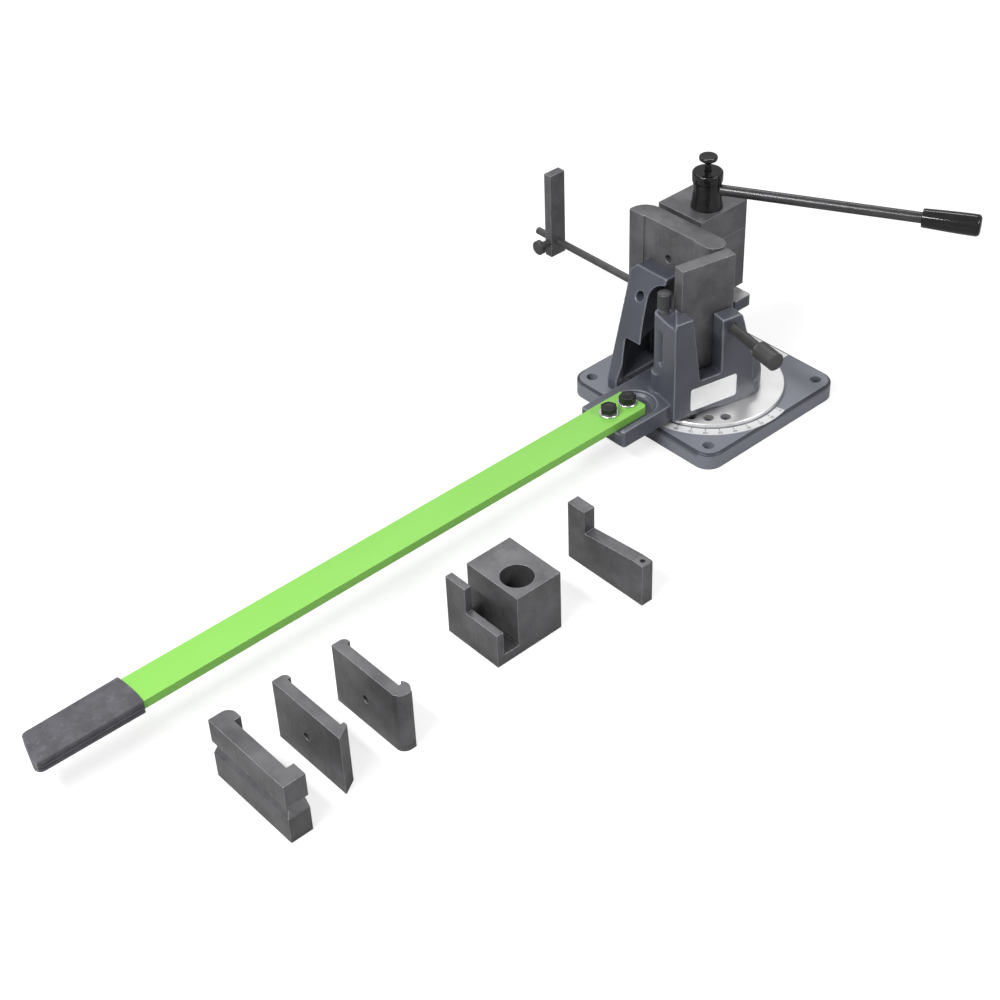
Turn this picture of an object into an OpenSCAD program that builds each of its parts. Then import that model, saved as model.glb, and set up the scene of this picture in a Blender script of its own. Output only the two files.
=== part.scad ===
/* [Base plate] */
// Length of the base plate along the feed direction
plate_x = 222; // [200:1:260]
// Width of the base plate across the feed direction
plate_y = 216.5; // [200:0.5:260]
// Thickness of the base plate
plate_h = 20.5; // [18:0.5:30]
// Radius of the plate's corners
plate_corner_r = 19.5; // [12:0.5:34]
// Rounding of the plate's top edge
plate_edge_r = 3; // [1:0.5:4]
// Spacing of the bench bolt holes along the feed direction
mount_dx = 185; // [180:1:190]
// Spacing of the bench bolt holes across the feed direction
mount_dy = 180; // [176:1:186]
// Diameter of the bench bolt holes
mount_hole_d = 13; // [9:0.5:14]
// Distance of the swing pivot from the plate's centre, along the feed
pivot_x = 11; // [5:0.5:14]
// Distance of the swing pivot from the plate's centre, across the feed
pivot_y = -4; // [-7:0.5:0]

/* [Index disc and scale] */
// Diameter of the machined index disc
disc_d = 175; // [165:1:176]
// Height of the disc above the plate
disc_h = 5.5; // [4:0.5:10]
// Radius of the circle of index holes
index_r = 74.5; // [72:0.5:76]
// Angle between neighbouring index holes
index_pitch = 15; // [13:0.5:16]
// Number of index holes
index_count = 6; // [2:1:6]
// Width of the angle scale strip
scale_w = 11; // [8:0.5:12]
// Gap between the disc and the scale strip
scale_gap = 1.5; // [1:0.5:2]
// Thickness of the scale strips
strip_t = 0.4; // [0.2:0.1:1]
// Angle of the scale's zero end, from the feed direction
scale_zero_deg = 13.5; // [5:0.5:20]
// Angle covered by the scale strip
scale_span_deg = 121; // [90:1:130]

/* [Pivot] */
// Shank diameter of the pivot bolt
pivot_d = 25; // [20:0.5:26]
// Head diameter of the pivot bolt
pivot_head_d = 40; // [36:0.5:44]
// Head thickness of the pivot bolt
pivot_head_h = 6; // [4:0.5:8]
// Wall of the bush that the arm turns on
bush_wall = 3.5; // [2:0.5:4]
// Height of the boss that the arm turns on
boss_h = 3; // [2:0.5:5]

/* [Bed casting] */
// Height of the table top above the bench
table_z = 97.5; // [92:0.5:104]
// Thickness of the table's overhanging shelf
table_t = 16; // [12:0.5:20]
// Height of the column's top above the table
column_h = 59.5; // [50:0.5:70]
// Depth of the column's flat top
column_top_y = 19.5; // [14:0.5:24]
// Reach of the column's foot in front of the pivot
foot_reach = 88; // [80:1:90]
// Height of the column's foot
foot_h = 14.5; // [8:0.5:20]
// Diameter of the threaded hole in the column's front
column_hole_d = 11; // [9:0.5:12]

/* [Die] */
// Radius of the die's bending nose, half the die's thickness
nose_r = 13; // [10:0.5:14]
// Length of the die behind the nose's centre
die_len = 118; // [110:1:124]
// Height of the die and of the clamp block
die_h = 111.5; // [104:0.5:120]
// Depth of the locating recess in the die's front
die_recess = 1.5; // [1:0.5:3]

/* [Clamp block] */
// Open width of the slot that takes the flat bar
slot_open = 8; // [8:0.5:12]
// Size of the clamp block along the feed direction
block_x = 67; // [60:1:72]
// Size of the clamp block across the feed direction
block_y = 74.5; // [70:0.5:80]
// Height of the clamp block's lower segment
block_low_h = 76; // [60:1:90]
// Distance from the pivot to the block's near side
block_back = 38; // [30:1:44]

/* [Eccentric and handle] */
// Distance that the eccentric throws the clamp block
throw_y = 7.5; // [5:0.5:7.5]
// Diameter of the eccentric journal
journal_d = 33.2; // [28:0.2:34]
// Diameter of the hub's base
hub_d = 36.5; // [35:0.5:40]
// Height of the hub
hub_h = 44.5; // [36:0.5:50]
// Diameter of the handle rod
handle_d = 12.5; // [10:0.5:14]
// Distance from the hub's axis to the end of the grip
handle_len = 303; // [240:1:340]
// Length of the handle's grip
handle_grip_len = 63; // [50:1:80]
// Plan angle of the handle in the rest position
handle_deg = 29; // [10:1:60]

/* [Swing arm] */
// Height of the arm's hub above its boss
arm_h = 17; // [15:0.5:20]
// Radius of the arm's hub
arm_hub_r = 60; // [56:0.5:60]
// Distance from the pivot to the fork's front face
fork_front = 53; // [52:0.5:55]
// Lean of the posts' front face
fork_lean = 1; // [0.5:0.5:3]
// Distance from the pivot to the fork's back face
fork_back = 33.5; // [33.5:0.5:36]
// Width of the fork
fork_w = 108; // [106:1:110]
// Height of the taller post above the arm's hub
tall_post_h = 112.5; // [104:0.5:116]
// Height of the shorter post above the arm's hub
short_post_h = 97.5; // [90:0.5:102]
// Height of the slot's floor above the arm's hub
slot_floor_h = 28; // [24:1:34]
// Width of the tongue that carries the lever
tongue_w = 68; // [66:0.5:71]
// Thickness of the tongue
tongue_h = 22; // [20:0.5:24]
// Reach of the tongue from the pivot
tongue_reach = 166; // [162:1:175]

// Width of the pocket that the lever lies in
pocket_w = 51; // [48:0.5:54]

/* [Jaw] */
// Thickness of the bending jaw
jaw_t = 15; // [12:0.5:15]
// Length of the bending jaw
jaw_len = 69; // [60:0.5:69]
// Gap between the jaw and the die's nose
jaw_gap = 4; // [3:0.1:4.2]
// Diameter of the adjusting screw
screw_d = 12; // [10:0.5:14]
// Pitch of the adjusting screw
screw_pitch = 1.75; // [1.5:0.25:2.5]
// Diameter of the adjusting screw's knob
knob_d = 21; // [18:1:26]
// Length of the adjusting screw's knob
knob_len = 30; // [24:1:40]
// Length of thread that shows between post and knob
screw_free = 49; // [30:1:60]

/* [Index pin] */
// Diameter of the index pin
pin_d = 12; // [9:0.5:12]
// Diameter of the index pin's knurled head
pin_head_d = 15.5; // [14:0.5:18]
// Height of the index pin's knurled head
pin_head_h = 19.5; // [16:0.5:26]

/* [Lever] */
// Width of the lever bar
lever_w = 40; // [36:1:43]
// Thickness of the lever bar
lever_t = 10; // [8:0.5:12]
// Length of the lever that lies in the tongue's pocket
lever_lap = 50.5; // [48:0.5:54]
// Distance from the pivot to the lever's far end
lever_far = 885; // [700:5:1100]
// Offset of the lever's centre line from the pivot
lever_offset = -5.3; // [-6:0.1:-4.5]
// Size of the lever bolts' thread
bolt_d = 12; // [10:1:12]
// Spacing of the lever bolts
bolt_pitch = 29; // [28:1:34]
// Length of the rubber grip
grip_len = 118; // [90:1:140]
// Wall of the rubber grip
grip_wall = 3; // [2:0.5:4]

/* [Length stop] */
// Diameter of the stop rod
stop_rod_d = 9; // [8:0.5:10]
// Distance from the pivot to the stop rod's free end
stop_reach = 307; // [240:5:360]
// Length of the rod beyond the stop bar's near face
stop_tail = 36; // [20:1:60]
// Thickness of the stop bar
stop_bar_t = 11; // [8:0.5:14]
// Width of the stop bar
stop_bar_w = 23; // [18:0.5:28]
// Height of the stop bar
stop_bar_h = 111.5; // [90:0.5:120]

/* [Loose dies] */
// Height of the loose dies
loose_h = 73; // [60:1:90]
// Length of the loose dies
loose_len = 100; // [90:1:110]
// Distance from the pivot to the loose dies, along the feed
loose_x = 93; // [85:1:110]
// Size of the loose block along the feed
loose_block_x = 74.5; // [70:0.5:80]
// Size of the loose block across the feed, with its front plate
loose_block_y = 85.5; // [80:0.5:90]
// Diameter of the loose block's bore
loose_bore_d = 35; // [30:0.5:38]

/* [Hidden] */
$fn = 96;

// Overrun of every cut
cut = 1;
// Radial clearance of turning and sliding round fits
run_fit = 0.05;
// Radial clearance of pieces fixed in each other
seat_fit = 0.02;
// Clearance between flat faces that slide
slide_gap = 0.3;
// Facets of small round edges
edge_fn = 48;

// Plate and disc
disc_top = plate_h + disc_h;
pin_deg = -91.5;
index_hole_d = pin_d + 4 * run_fit;
index_depth = 6;
scale_in_r = disc_d / 2 + scale_gap;
disc_screw_d = 6;
disc_screw_head_d = 10;
disc_screw_head_h = 3.4;
disc_screw_r = 48;
disc_screw_count = 4;
disc_screw_len = 16;
strip_x0 = -62;
strip_x1 = 27;
strip_y0 = 96.5;
strip_w = 12;

// Pivot stack
arm_z = disc_top + boss_h;
arm_top = arm_z + arm_h;
boss_r = arm_hub_r - 3.5;
nut_af = 36;
nut_h = 8;
pivot_washer_t = 2.5;
pivot_washer_d = 42;
pivot_recess_d = 50;
pivot_recess_h = 12;
pivot_thread_d = 0.96 * pivot_d;
bush_d = pivot_d + 2 * bush_wall;

// Bed casting, from the pivot
bed_left = 106;
bed_right = 16;
bed_pedestal_right = 44;
bed_back = 84.5;
pedestal_back = 78;
rail_right = 20;
rail_y = 20;
slab_z = table_z - table_t;
slab_relief_r = 62;
column_left = 95;
column_right = 40;
column_foot_left = 76.5;
column_foot_right = 62;
column_top = table_z + column_h;
column_back = nose_r - die_recess;
column_front = column_back + column_top_y;
column_relief_x = 16;
column_relief_y = -20;
column_relief_r = 77;
column_relief_round = 20;
column_relief_top = column_top - 8;
column_chamfer = 9;
foot_relief_r = 97;
foot_top = plate_h + foot_h;
hub_relief_r = arm_hub_r + 3;
disc_relief_r = disc_d / 2 + 1.5;
disc_relief_h = 1.5;
column_hole_x = -69;
column_hole_z = table_z + 30.5;
bed_screw_xy = [[-97.5, 2], [-97, 62], [-70, 69], [-72, -76]];
bed_screw_d = 8;
bed_screw_head_d = 13;
bed_screw_head_h = 8;
bed_screw_seat = 9;
bed_screw_len = 30;

// Die
die_top = table_z + die_h;
die_end_r = 22;
die_recess_left = column_left + 0.3;
die_recess_right = nose_r + 4;
die_tap_x = -57;
die_tap_z = table_z + 71;
die_tap_d = 10;
die_tap_depth = 9;
die_screw_d = 6;
die_screw_head_d = 10;
die_screw_head_h = 6;
die_screw_seat = 10;
die_screw_in = 14;
socket_share = 0.5;

// Clamp block, from the pivot
block_y0 = nose_r + slot_open;
block_x0 = -block_back - block_x;
seam_z = table_z + block_low_h;
key_x = -91;
key_w = 14;
key_h = 8;
key_len = 40;
key_y0 = block_y0 + 16;
key_slot_y0 = block_y0 + 1;
key_slot_y1 = 78;
ecc_x = -61;
ecc_y = block_y0 + 32;
ecc_throw = throw_y / (2 * sin(45));
bore_d = journal_d + 2.2;
bore_x = ecc_x + ecc_throw * (1 + cos(45)) / 2;
bore_y = ecc_y + throw_y / 2;
spigot_d = 24;
spigot_len = 42;
neck_d = 16;
cap_bore_d = neck_d + throw_y + 1;
cap_screw_d = 6;
cap_screw_head_d = 10;
cap_screw_head_h = 6;
cap_screw_in = 12;
cap_screw_recess = 8;
cap_screw_z = table_z + slide_gap + cap_screw_recess;
cap_screw_dx = 24;
cap_screw_y = [8, 66];

// Hub and handle
hub_z = die_top + slide_gap;
hub_top = die_top + hub_h;
hub_base_h = 1.5;
hub_waist_share = 0.88;
hub_shoulder_share = 0.93;
hub_top_share = 0.96;
hub_round = 3;
handle_z = die_top + 22.5;
neck_in_hub = 10;
hub_bore_h = 30;
knob_stem_d = 7.5;
knob_stem_free = 9;
knob_top_d = 21;
knob_top_h = 10;
grip_small_d = 21;
grip_large_d = 24.5;
grip_end_r = 4;
handle_in_grip = 40;
handle_in_hub = 9;

// Swing arm: x away from the jaw's face, y along the fork
arm_turn = -12;
fork_y1 = 24;
fork_y0 = fork_y1 - fork_w;
under_step = 0.5;
tongue_z0 = arm_z + under_step;
fork_z0 = tongue_z0 + under_step;
fork_corner = 8;
tall_post_w = 23.5;
short_post_y0 = -21;
short_post_w = 28;
short_post_r = 6;
slot_y0 = -49;
slot_y1 = -20.5;
tall_post_z = arm_top + tall_post_h;
short_post_z = arm_top + short_post_h;
slot_floor_z = arm_top + slot_floor_h;
shoulder_z = slot_floor_z + 3;
shoulder_steps = 6;
shoulder_turn = 70;
pin_x = index_r * cos(pin_deg - arm_turn);
pin_y = index_r * sin(pin_deg - arm_turn);
lug_r = pin_d / 2 + 4.2;
lug_side = pin_y + lug_r;
web_back = 27;
shelf_z = tall_post_z - 6;
ridge_z = tall_post_z - under_step;
window_z0 = slot_floor_z + 17;
window_z1 = shelf_z - 18;
ridge_back = 18;
foot_boss_r = 13;
foot_boss_z = slot_floor_z + 2;
tongue_top = arm_z + tongue_h;
tongue_x = -5.25;
tongue_root = 40;
tongue_chamfer = 2;
lever_z = tongue_top - 6;
lever_top = lever_z + lever_t;
pocket_x = -2.8;
pocket_centre = tongue_reach - lever_lap + 4;
pocket_step = 2.6;
pocket_step_h = 2.2;
label_y0 = -61.5;
label_w = 62;
label_z0 = arm_z + 8;
label_h = 29;
label_t = 0.5;
label_r = 3;

// Jaw, in the arm's directions
jaw_in = nose_r + jaw_gap;
jaw_out = jaw_in + jaw_t;
jaw_y1 = 6.5;
jaw_z = tongue_top + slide_gap;
screw_y = -7;
screw_z = short_post_z - 15;
screw_tip_d = 8;
screw_tip_in = 4;
screw_groove = 0.8;
knob_x = fork_front + screw_free - fork_lean;
knob_edge = 1;
knob_screw_in = 14;
guide_d = 8;
guide_ys = [-52, -28];
guide_z = tongue_top + 9;
guide_in = 10;
guide_len = 26;
guide_depth = 16;

// Index pin
pin_tip_z = disc_top + 1;
pin_tip_edge = 1.5;
pin_drop = 5;
pin_head_z = shelf_z + pin_drop + 0.5;
pin_head_edge = 1;

// Lever
lever_near = tongue_reach - lever_lap;
bolt_in = 11.6;
bolt_y = -lever_near - bolt_in;
bolt_x = -4.8;
bolt_af = 17 / 12 * bolt_d;
bolt_head_h = 0.63 * bolt_d;
bolt_hole_d = bolt_d + 1;
washer_d = 1.87 * bolt_d;
washer_t = 2.5;
bolt_end_z = arm_z + 2;
lever_chamfer = 3;
grip_taper = 5;
grip_slant = 11;
grip_end = lever_far + 15;
grip_mouth = grip_end - grip_len;

// Length stop
stop_y = 18.4;
stop_z = slab_z + 6.5;
stop_bar_z = stop_z - 18.3;
stop_bar_at = stop_reach - stop_tail;
stop_in = 14;
stop_thread_d = 6;
thumb_d = 18;
thumb_t = 7;
thumb_neck_d = 9;
thumb_neck = 11.4;

// Loose dies, from the pivot
loose_plate_t = 16;
loose_lug_w = 8;
loose_lug_t = 4;
loose_hole_d = 9;
loose_hole_x = 47.5;
loose_hole_z = 35;
loose_hole_depth = 10;
round_die_y = -619;
wedge_die_y = -689;
groove_die_y = -761;
groove_die_len = 114;
groove_die_t = 24.5;
groove_die_in = 8;
groove_lug_w = 17;
groove_w = 22;
groove_in = 8;
groove_z = 40;
groove_end_r = 10;
loose_end_r = 6;
wedge_len = 102;
wedge_back = 9.5;
wedge_land = 4.5;
round_front_r = 10;
round_lug_w = 14;
ring_block_y = -477;
ring_plate_t = 8.5;
ring_slot_w = 19.5;
ring_slot_z = 12;
ring_plate_h = 42;
ring_plate_left = 28.5;
ring_bore_x = 49;
ring_bore_y = 51;
angle_bar_y = -311;
angle_bar_t = 14.4;
angle_bar_len = 108.6;
angle_bar_h = 52;
angle_bar_low_h = 45;
angle_post_w = 24.5;
angle_pad_w = 14;
angle_hole_d = 6;

module on_pivot() translate([pivot_x, pivot_y, 0]) children();
module in_arm() on_pivot() rotate([0, 0, arm_turn]) children();

// Box between two corners
module block(a, b) translate(a) cube(b - a);

// Prism along X over points in Y and Z
module prism_x(x0, x1, points)
    translate([x0, 0, 0]) rotate([90, 0, 90]) linear_extrude(x1 - x0) polygon(points);

// Prism along Y over points in X and Z
module prism_y(y0, y1, points)
    translate([0, y1, 0]) rotate([90, 0, 0]) linear_extrude(y1 - y0) polygon(points);

// Prism along Z over points in X and Y
module prism_z(z0, z1, points) translate([0, 0, z0]) linear_extrude(z1 - z0) polygon(points);

// Round bars along each direction
module bar_x(x0, x1, d) translate([x0, 0, 0]) rotate([0, 90, 0]) cylinder(d = d, h = x1 - x0);
module bar_y(y0, y1, d) translate([0, y0, 0]) rotate([-90, 0, 0]) cylinder(d = d, h = y1 - y0);
module bar_z(z0, z1, d) translate([0, 0, z0]) cylinder(d = d, h = z1 - z0);

module hex_prism(af, h) cylinder(d = af / cos(30), h = h, $fn = 6);

// Turned piece with both ends chamfered
module chamfered(d, h, c)
    rotate_extrude()
        polygon([[0, 0], [d / 2 - c, 0], [d / 2, c], [d / 2, h - c], [d / 2 - c, h], [0, h]]);

// Half profile of a plate whose top edge is rounded
module edge_profile(w, h, r) {
    square([w, h - r]);
    square([w - r, h]);
    translate([w - r, h - r]) circle(r = r, $fn = edge_fn);
}

// Rectangular plate with round corners and a rounded top edge
module soft_plate(x, y, h, r, e) {
    for (sx = [-1, 1], sy = [-1, 1])
        translate([sx * (x / 2 - r), sy * (y / 2 - r), 0]) rotate_extrude() edge_profile(r, h, e);
    for (s = [0, 1]) {
        translate([-x / 2 + r, 0, 0]) rotate([90, 0, 90]) linear_extrude(x - 2 * r)
            mirror([s, 0]) edge_profile(y / 2, h, e);
        translate([0, y / 2 - r, 0]) rotate([90, 0, 0]) linear_extrude(y - 2 * r)
            mirror([s, 0]) edge_profile(x / 2, h, e);
    }
}

// Socket head screw standing on its point, head up
module socket_screw(d, len, head_d, head_h) {
    difference() {
        union() {
            cylinder(d = d, h = len);
            translate([0, 0, len]) cylinder(d = head_d, h = head_h);
        }
        translate([0, 0, len + head_h * (1 - socket_share)]) hex_prism(head_d * socket_share, head_h);
    }
}

module mount_places()
    for (sx = [-1, 1], sy = [-1, 1])
        translate([sx * mount_dx / 2, sy * mount_dy / 2, 0]) children();

module index_places()
    for (i = [0:index_count - 1])
        rotate([0, 0, pin_deg + (i - 1) * index_pitch]) translate([index_r, 0, 0]) children();

module disc_screw_places()
    for (i = [0:disc_screw_count - 1])
        rotate([0, 0, (i + 0.5) * 360 / disc_screw_count]) translate([disc_screw_r, 0, 0]) children();

module bed_screw_places()
    for (p = bed_screw_xy) translate([p[0], p[1], 0]) children();

module base_plate() {
    color("#33363d") difference() {
        soft_plate(plate_x, plate_y, plate_h, plate_corner_r, plate_edge_r);
        mount_places() bar_z(-cut, plate_h + cut, mount_hole_d);
        on_pivot() {
            bar_z(-cut, plate_h + cut, pivot_d + 2 * seat_fit);
            bar_z(-cut, pivot_recess_h, pivot_recess_d);
            index_places() bar_z(plate_h - index_depth, plate_h + cut, index_hole_d);
            disc_screw_places()
                bar_z(disc_top - disc_screw_len - cut, plate_h + cut, disc_screw_d + 2 * seat_fit);
            bed_screw_places() {
                bar_z(-cut, plate_h + cut, bed_screw_d + 2 * seat_fit);
                bar_z(-cut, bed_screw_seat, bed_screw_head_d + cut);
            }
        }
    }
}

module index_disc() {
    color("#b9bcc0") on_pivot() difference() {
        translate([0, 0, plate_h]) chamfered(disc_d, disc_h, disc_h / 10);
        bar_z(plate_h - cut, disc_top + cut, pivot_d + 2 * seat_fit);
        index_places() bar_z(plate_h - cut, disc_top + cut, index_hole_d);
        disc_screw_places() {
            bar_z(plate_h - cut, disc_top + cut, disc_screw_d + 2 * seat_fit);
            bar_z(disc_top - disc_screw_head_h, disc_top + cut, disc_screw_head_d + 2 * seat_fit);
        }
    }
}

module disc_screws() {
    color("#55585c") on_pivot() disc_screw_places() translate([0, 0, disc_top - disc_screw_len])
        socket_screw(disc_screw_d, disc_screw_len - disc_screw_head_h, disc_screw_head_d, disc_screw_head_h);
}

module angle_scale() {
    color("white") on_pivot() translate([0, 0, plate_h])
        rotate([0, 0, scale_zero_deg - scale_span_deg]) rotate_extrude(angle = scale_span_deg)
            translate([scale_in_r, 0]) square([scale_w, strip_t]);
}

module blank_strip() {
    color("#d9dbdd") on_pivot()
        block([strip_x0, strip_y0, plate_h], [strip_x1, strip_y0 + strip_w, plate_h + strip_t]);
}

module pivot_bolt() {
    color("#6b6e72") on_pivot() difference() {
        union() {
            bar_z(pivot_recess_h, arm_top - pivot_head_h, pivot_d);
            bar_z(pivot_recess_h - pivot_washer_t - nut_h, pivot_recess_h, pivot_thread_d);
            bar_z(arm_top - pivot_head_h, arm_top, pivot_head_d);
        }
        translate([0, 0, arm_top - pivot_head_h * socket_share]) hex_prism(pivot_head_d / 3, pivot_head_h);
    }
}

module pivot_washer() {
    color("#a3a6aa") on_pivot() difference() {
        bar_z(pivot_recess_h - pivot_washer_t, pivot_recess_h, pivot_washer_d);
        bar_z(0, pivot_recess_h + cut, pivot_thread_d + 2 * seat_fit);
    }
}

module pivot_nut() {
    color("#6b6e72") on_pivot() difference() {
        translate([0, 0, pivot_recess_h - pivot_washer_t - nut_h]) hex_prism(nut_af, nut_h);
        bar_z(-cut, pivot_recess_h + cut, pivot_thread_d + 2 * seat_fit);
    }
}

module pivot_bush() {
    color("#b08d4a") on_pivot() difference() {
        bar_z(disc_top, arm_top - pivot_head_h, bush_d);
        bar_z(disc_top - cut, arm_top, pivot_d + 2 * run_fit);
    }
}

// Column of the casting, before its holes
module bed_column() {
    difference() {
        intersection() {
            prism_x(-column_left, -column_right, [[-column_back, plate_h], [-column_back, column_top],
                    [-column_front, column_top], [-foot_reach, foot_top], [-foot_reach, plate_h]]);
            prism_z(plate_h, column_top, [[-column_left, 0], [-column_left, -column_front],
                    [-column_foot_left, -foot_reach], [-column_right, -foot_reach], [-column_right, 0]]);
        }
        translate([column_relief_x, column_relief_y, slab_z]) rotate_extrude()
            edge_profile(column_relief_r, column_relief_top - slab_z, column_relief_round);
        translate([column_relief_x, column_relief_y, 0]) bar_z(foot_top, slab_z, 2 * foot_relief_r);
        block([-column_foot_right, -foot_reach - cut, plate_h - cut], [0, 0, slab_z]);
        prism_y(-foot_reach - cut, 0, [[-column_left - cut, column_top - column_chamfer],
                [-column_left + column_chamfer, column_top + cut], [-column_left - cut, column_top + cut]]);
    }
}

// Table of the casting, before its holes
module bed_table() {
    block([-bed_left, -nose_r, slab_z], [-rail_right, rail_y, table_z]);
    difference() {
        block([-bed_left, -nose_r, slab_z], [-bed_right, bed_back, table_z]);
        bar_z(slab_z - cut, table_z + cut, 2 * slab_relief_r);
    }
    difference() {
        block([-bed_left, -nose_r, plate_h], [-bed_pedestal_right, pedestal_back, slab_z]);
        bar_z(plate_h - cut, slab_z + cut, 2 * hub_relief_r);
    }
}

module bed_casting() {
    color("#33363d") on_pivot() difference() {
        union() {
            bed_column();
            bed_table();
        }
        bar_z(plate_h - cut, disc_top + disc_relief_h, 2 * disc_relief_r);
        bed_screw_places() bar_z(0, bed_screw_seat + bed_screw_len + cut, bed_screw_d + 2 * seat_fit);
        translate([ecc_x, ecc_y, 0]) bar_z(table_z - spigot_len - cut, table_z + cut, spigot_d + 2 * run_fit);
        block([key_x - key_w / 2 - run_fit, key_slot_y0, table_z - key_h / 2 - slide_gap],
              [key_x + key_w / 2 + run_fit, key_slot_y1, table_z + cut]);
        translate([0, stop_y, stop_z]) bar_x(-bed_left - cut, -bed_left + stop_in, stop_rod_d + 2 * seat_fit);
        translate([column_hole_x, 0, column_hole_z]) {
            bar_y(-foot_reach, -column_back - die_screw_seat, column_hole_d);
            bar_y(-foot_reach, -column_back + cut, die_screw_d + 2 * seat_fit);
        }
    }
}

module bed_screws() {
    color("#55585c") on_pivot() bed_screw_places()
        translate([0, 0, bed_screw_seat + bed_screw_len]) rotate([180, 0, 0])
            socket_screw(bed_screw_d, bed_screw_len, bed_screw_head_d, bed_screw_head_h);
}

module die_plate() {
    color("#3a3a3c") on_pivot() difference() {
        union() {
            bar_z(table_z, die_top, 2 * nose_r);
            block([-die_len + die_end_r, -nose_r, table_z], [0, nose_r, die_top]);
            intersection() {
                translate([-die_len + die_end_r, nose_r - die_end_r, 0])
                    bar_z(table_z, die_top, 2 * die_end_r);
                block([-die_len, -nose_r, table_z], [-die_len + die_end_r, nose_r, die_top]);
            }
        }
        block([-die_recess_left, -nose_r - cut, table_z - cut],
              [-die_recess_right, -column_back, die_top + cut]);
        translate([die_tap_x, 0, die_tap_z]) bar_y(-nose_r - cut, -column_back + die_tap_depth, die_tap_d);
        translate([column_hole_x, 0, column_hole_z])
            bar_y(-nose_r - cut, -column_back + die_screw_in + cut, die_screw_d + 2 * seat_fit);
    }
}

module die_screw() {
    color("#55585c") on_pivot()
        translate([column_hole_x, -column_back + die_screw_in, column_hole_z]) rotate([90, 0, 0])
            socket_screw(die_screw_d, die_screw_in + die_screw_seat, die_screw_head_d, die_screw_head_h);
}

module block_outline(z0, z1)
    block([block_x0, block_y0, z0], [block_x0 + block_x, block_y0 + block_y, z1]);

module cap_screw_places()
    for (s = [-1, 1], y = cap_screw_y)
        translate([block_x0 + block_x / 2 + s * cap_screw_dx, block_y0 + y, 0]) children();

module clamp_block() {
    color("#3f3f40") on_pivot() difference() {
        block_outline(table_z + slide_gap, seam_z);
        translate([bore_x, bore_y, 0]) bar_z(table_z - cut, seam_z + cut, bore_d);
        block([key_x - key_w / 2 - seat_fit, key_y0 - seat_fit, table_z - cut],
              [key_x + key_w / 2 + seat_fit, key_y0 + key_len + seat_fit, table_z + key_h / 2]);
        cap_screw_places() {
            bar_z(table_z, seam_z + cut, cap_screw_d + 2 * seat_fit);
            bar_z(table_z, cap_screw_z, cap_screw_head_d + 2 * seat_fit);
        }
    }
}

module guide_key() {
    color("#8b8e92") on_pivot()
        block([key_x - key_w / 2, key_y0, table_z - key_h / 2],
            [key_x + key_w / 2, key_y0 + key_len, table_z + key_h / 2]);
}

module clamp_block_cap() {
    color("#3f3f40") on_pivot() difference() {
        block_outline(seam_z, die_top);
        translate([ecc_x, bore_y, 0]) bar_z(seam_z - cut, die_top + cut, cap_bore_d);
        cap_screw_places() bar_z(seam_z - cut, seam_z + cap_screw_in + cut, cap_screw_d + 2 * seat_fit);
    }
}

module cap_screws() {
    color("#55585c") on_pivot() cap_screw_places()
        translate([0, 0, seam_z + cap_screw_in]) rotate([180, 0, 0])
            socket_screw(cap_screw_d, seam_z + cap_screw_in - cap_screw_z, cap_screw_head_d, cap_screw_head_h);
}

module eccentric_shaft() {
    color("#8b8e92") on_pivot() translate([ecc_x, ecc_y, 0]) {
        bar_z(table_z - spigot_len, table_z + slide_gap, spigot_d);
        translate([ecc_throw * cos(45), ecc_throw * sin(45), 0])
            bar_z(table_z + slide_gap, seam_z - slide_gap, journal_d);
        bar_z(seam_z - slide_gap, hub_z + neck_in_hub, neck_d);
    }
}

module at_handle()
    on_pivot() translate([ecc_x, ecc_y, handle_z]) rotate([0, 0, handle_deg]) children();

module eccentric_hub() {
    color("#141517") difference() {
        on_pivot() translate([ecc_x, ecc_y, 0]) difference() {
            rotate_extrude() polygon([[0, hub_z], [hub_d / 2, hub_z], [hub_d / 2, hub_z + hub_base_h],
                [hub_d / 2 * hub_waist_share, handle_z - handle_d / 4],
                [hub_d / 2 * hub_waist_share, handle_z + handle_d / 4],
                [hub_d / 2 * hub_shoulder_share, handle_z + handle_d / 2],
                [hub_d / 2 * hub_top_share, hub_top - hub_round],
                [hub_d / 2 * hub_top_share - hub_round, hub_top], [0, hub_top]]);
            bar_z(hub_z - cut, hub_z + neck_in_hub, neck_d + 2 * seat_fit);
            bar_z(hub_top - hub_bore_h, hub_top + cut, knob_stem_d + 2 * run_fit);
        }
        at_handle() bar_x(handle_in_hub, hub_d, handle_d + 2 * seat_fit);
    }
}

module hub_knob() {
    color("#141517") on_pivot() translate([ecc_x, ecc_y, 0]) {
        bar_z(hub_top - hub_bore_h + cut, hub_top + knob_stem_free, knob_stem_d);
        translate([0, 0, hub_top + knob_stem_free]) chamfered(knob_top_d, knob_top_h, knob_top_h / 5);
    }
}

module handle_rod() {
    color("#17181a") at_handle() bar_x(handle_in_hub,
        handle_len - handle_grip_len + handle_in_grip, handle_d);
}

module handle_grip() {
    color("#141517") at_handle() difference() {
        translate([handle_len - handle_grip_len, 0, 0]) rotate([0, 90, 0]) rotate_extrude()
            polygon([[0, 0], [grip_small_d / 2 - 1, 0], [grip_small_d / 2, 1],
                     [grip_large_d / 2, handle_grip_len - grip_end_r],
                     [grip_large_d / 2 - grip_end_r, handle_grip_len], [0, handle_grip_len]]);
        bar_x(0, handle_len - handle_grip_len + handle_in_grip + cut, handle_d + 2 * seat_fit);
    }
}

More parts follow.
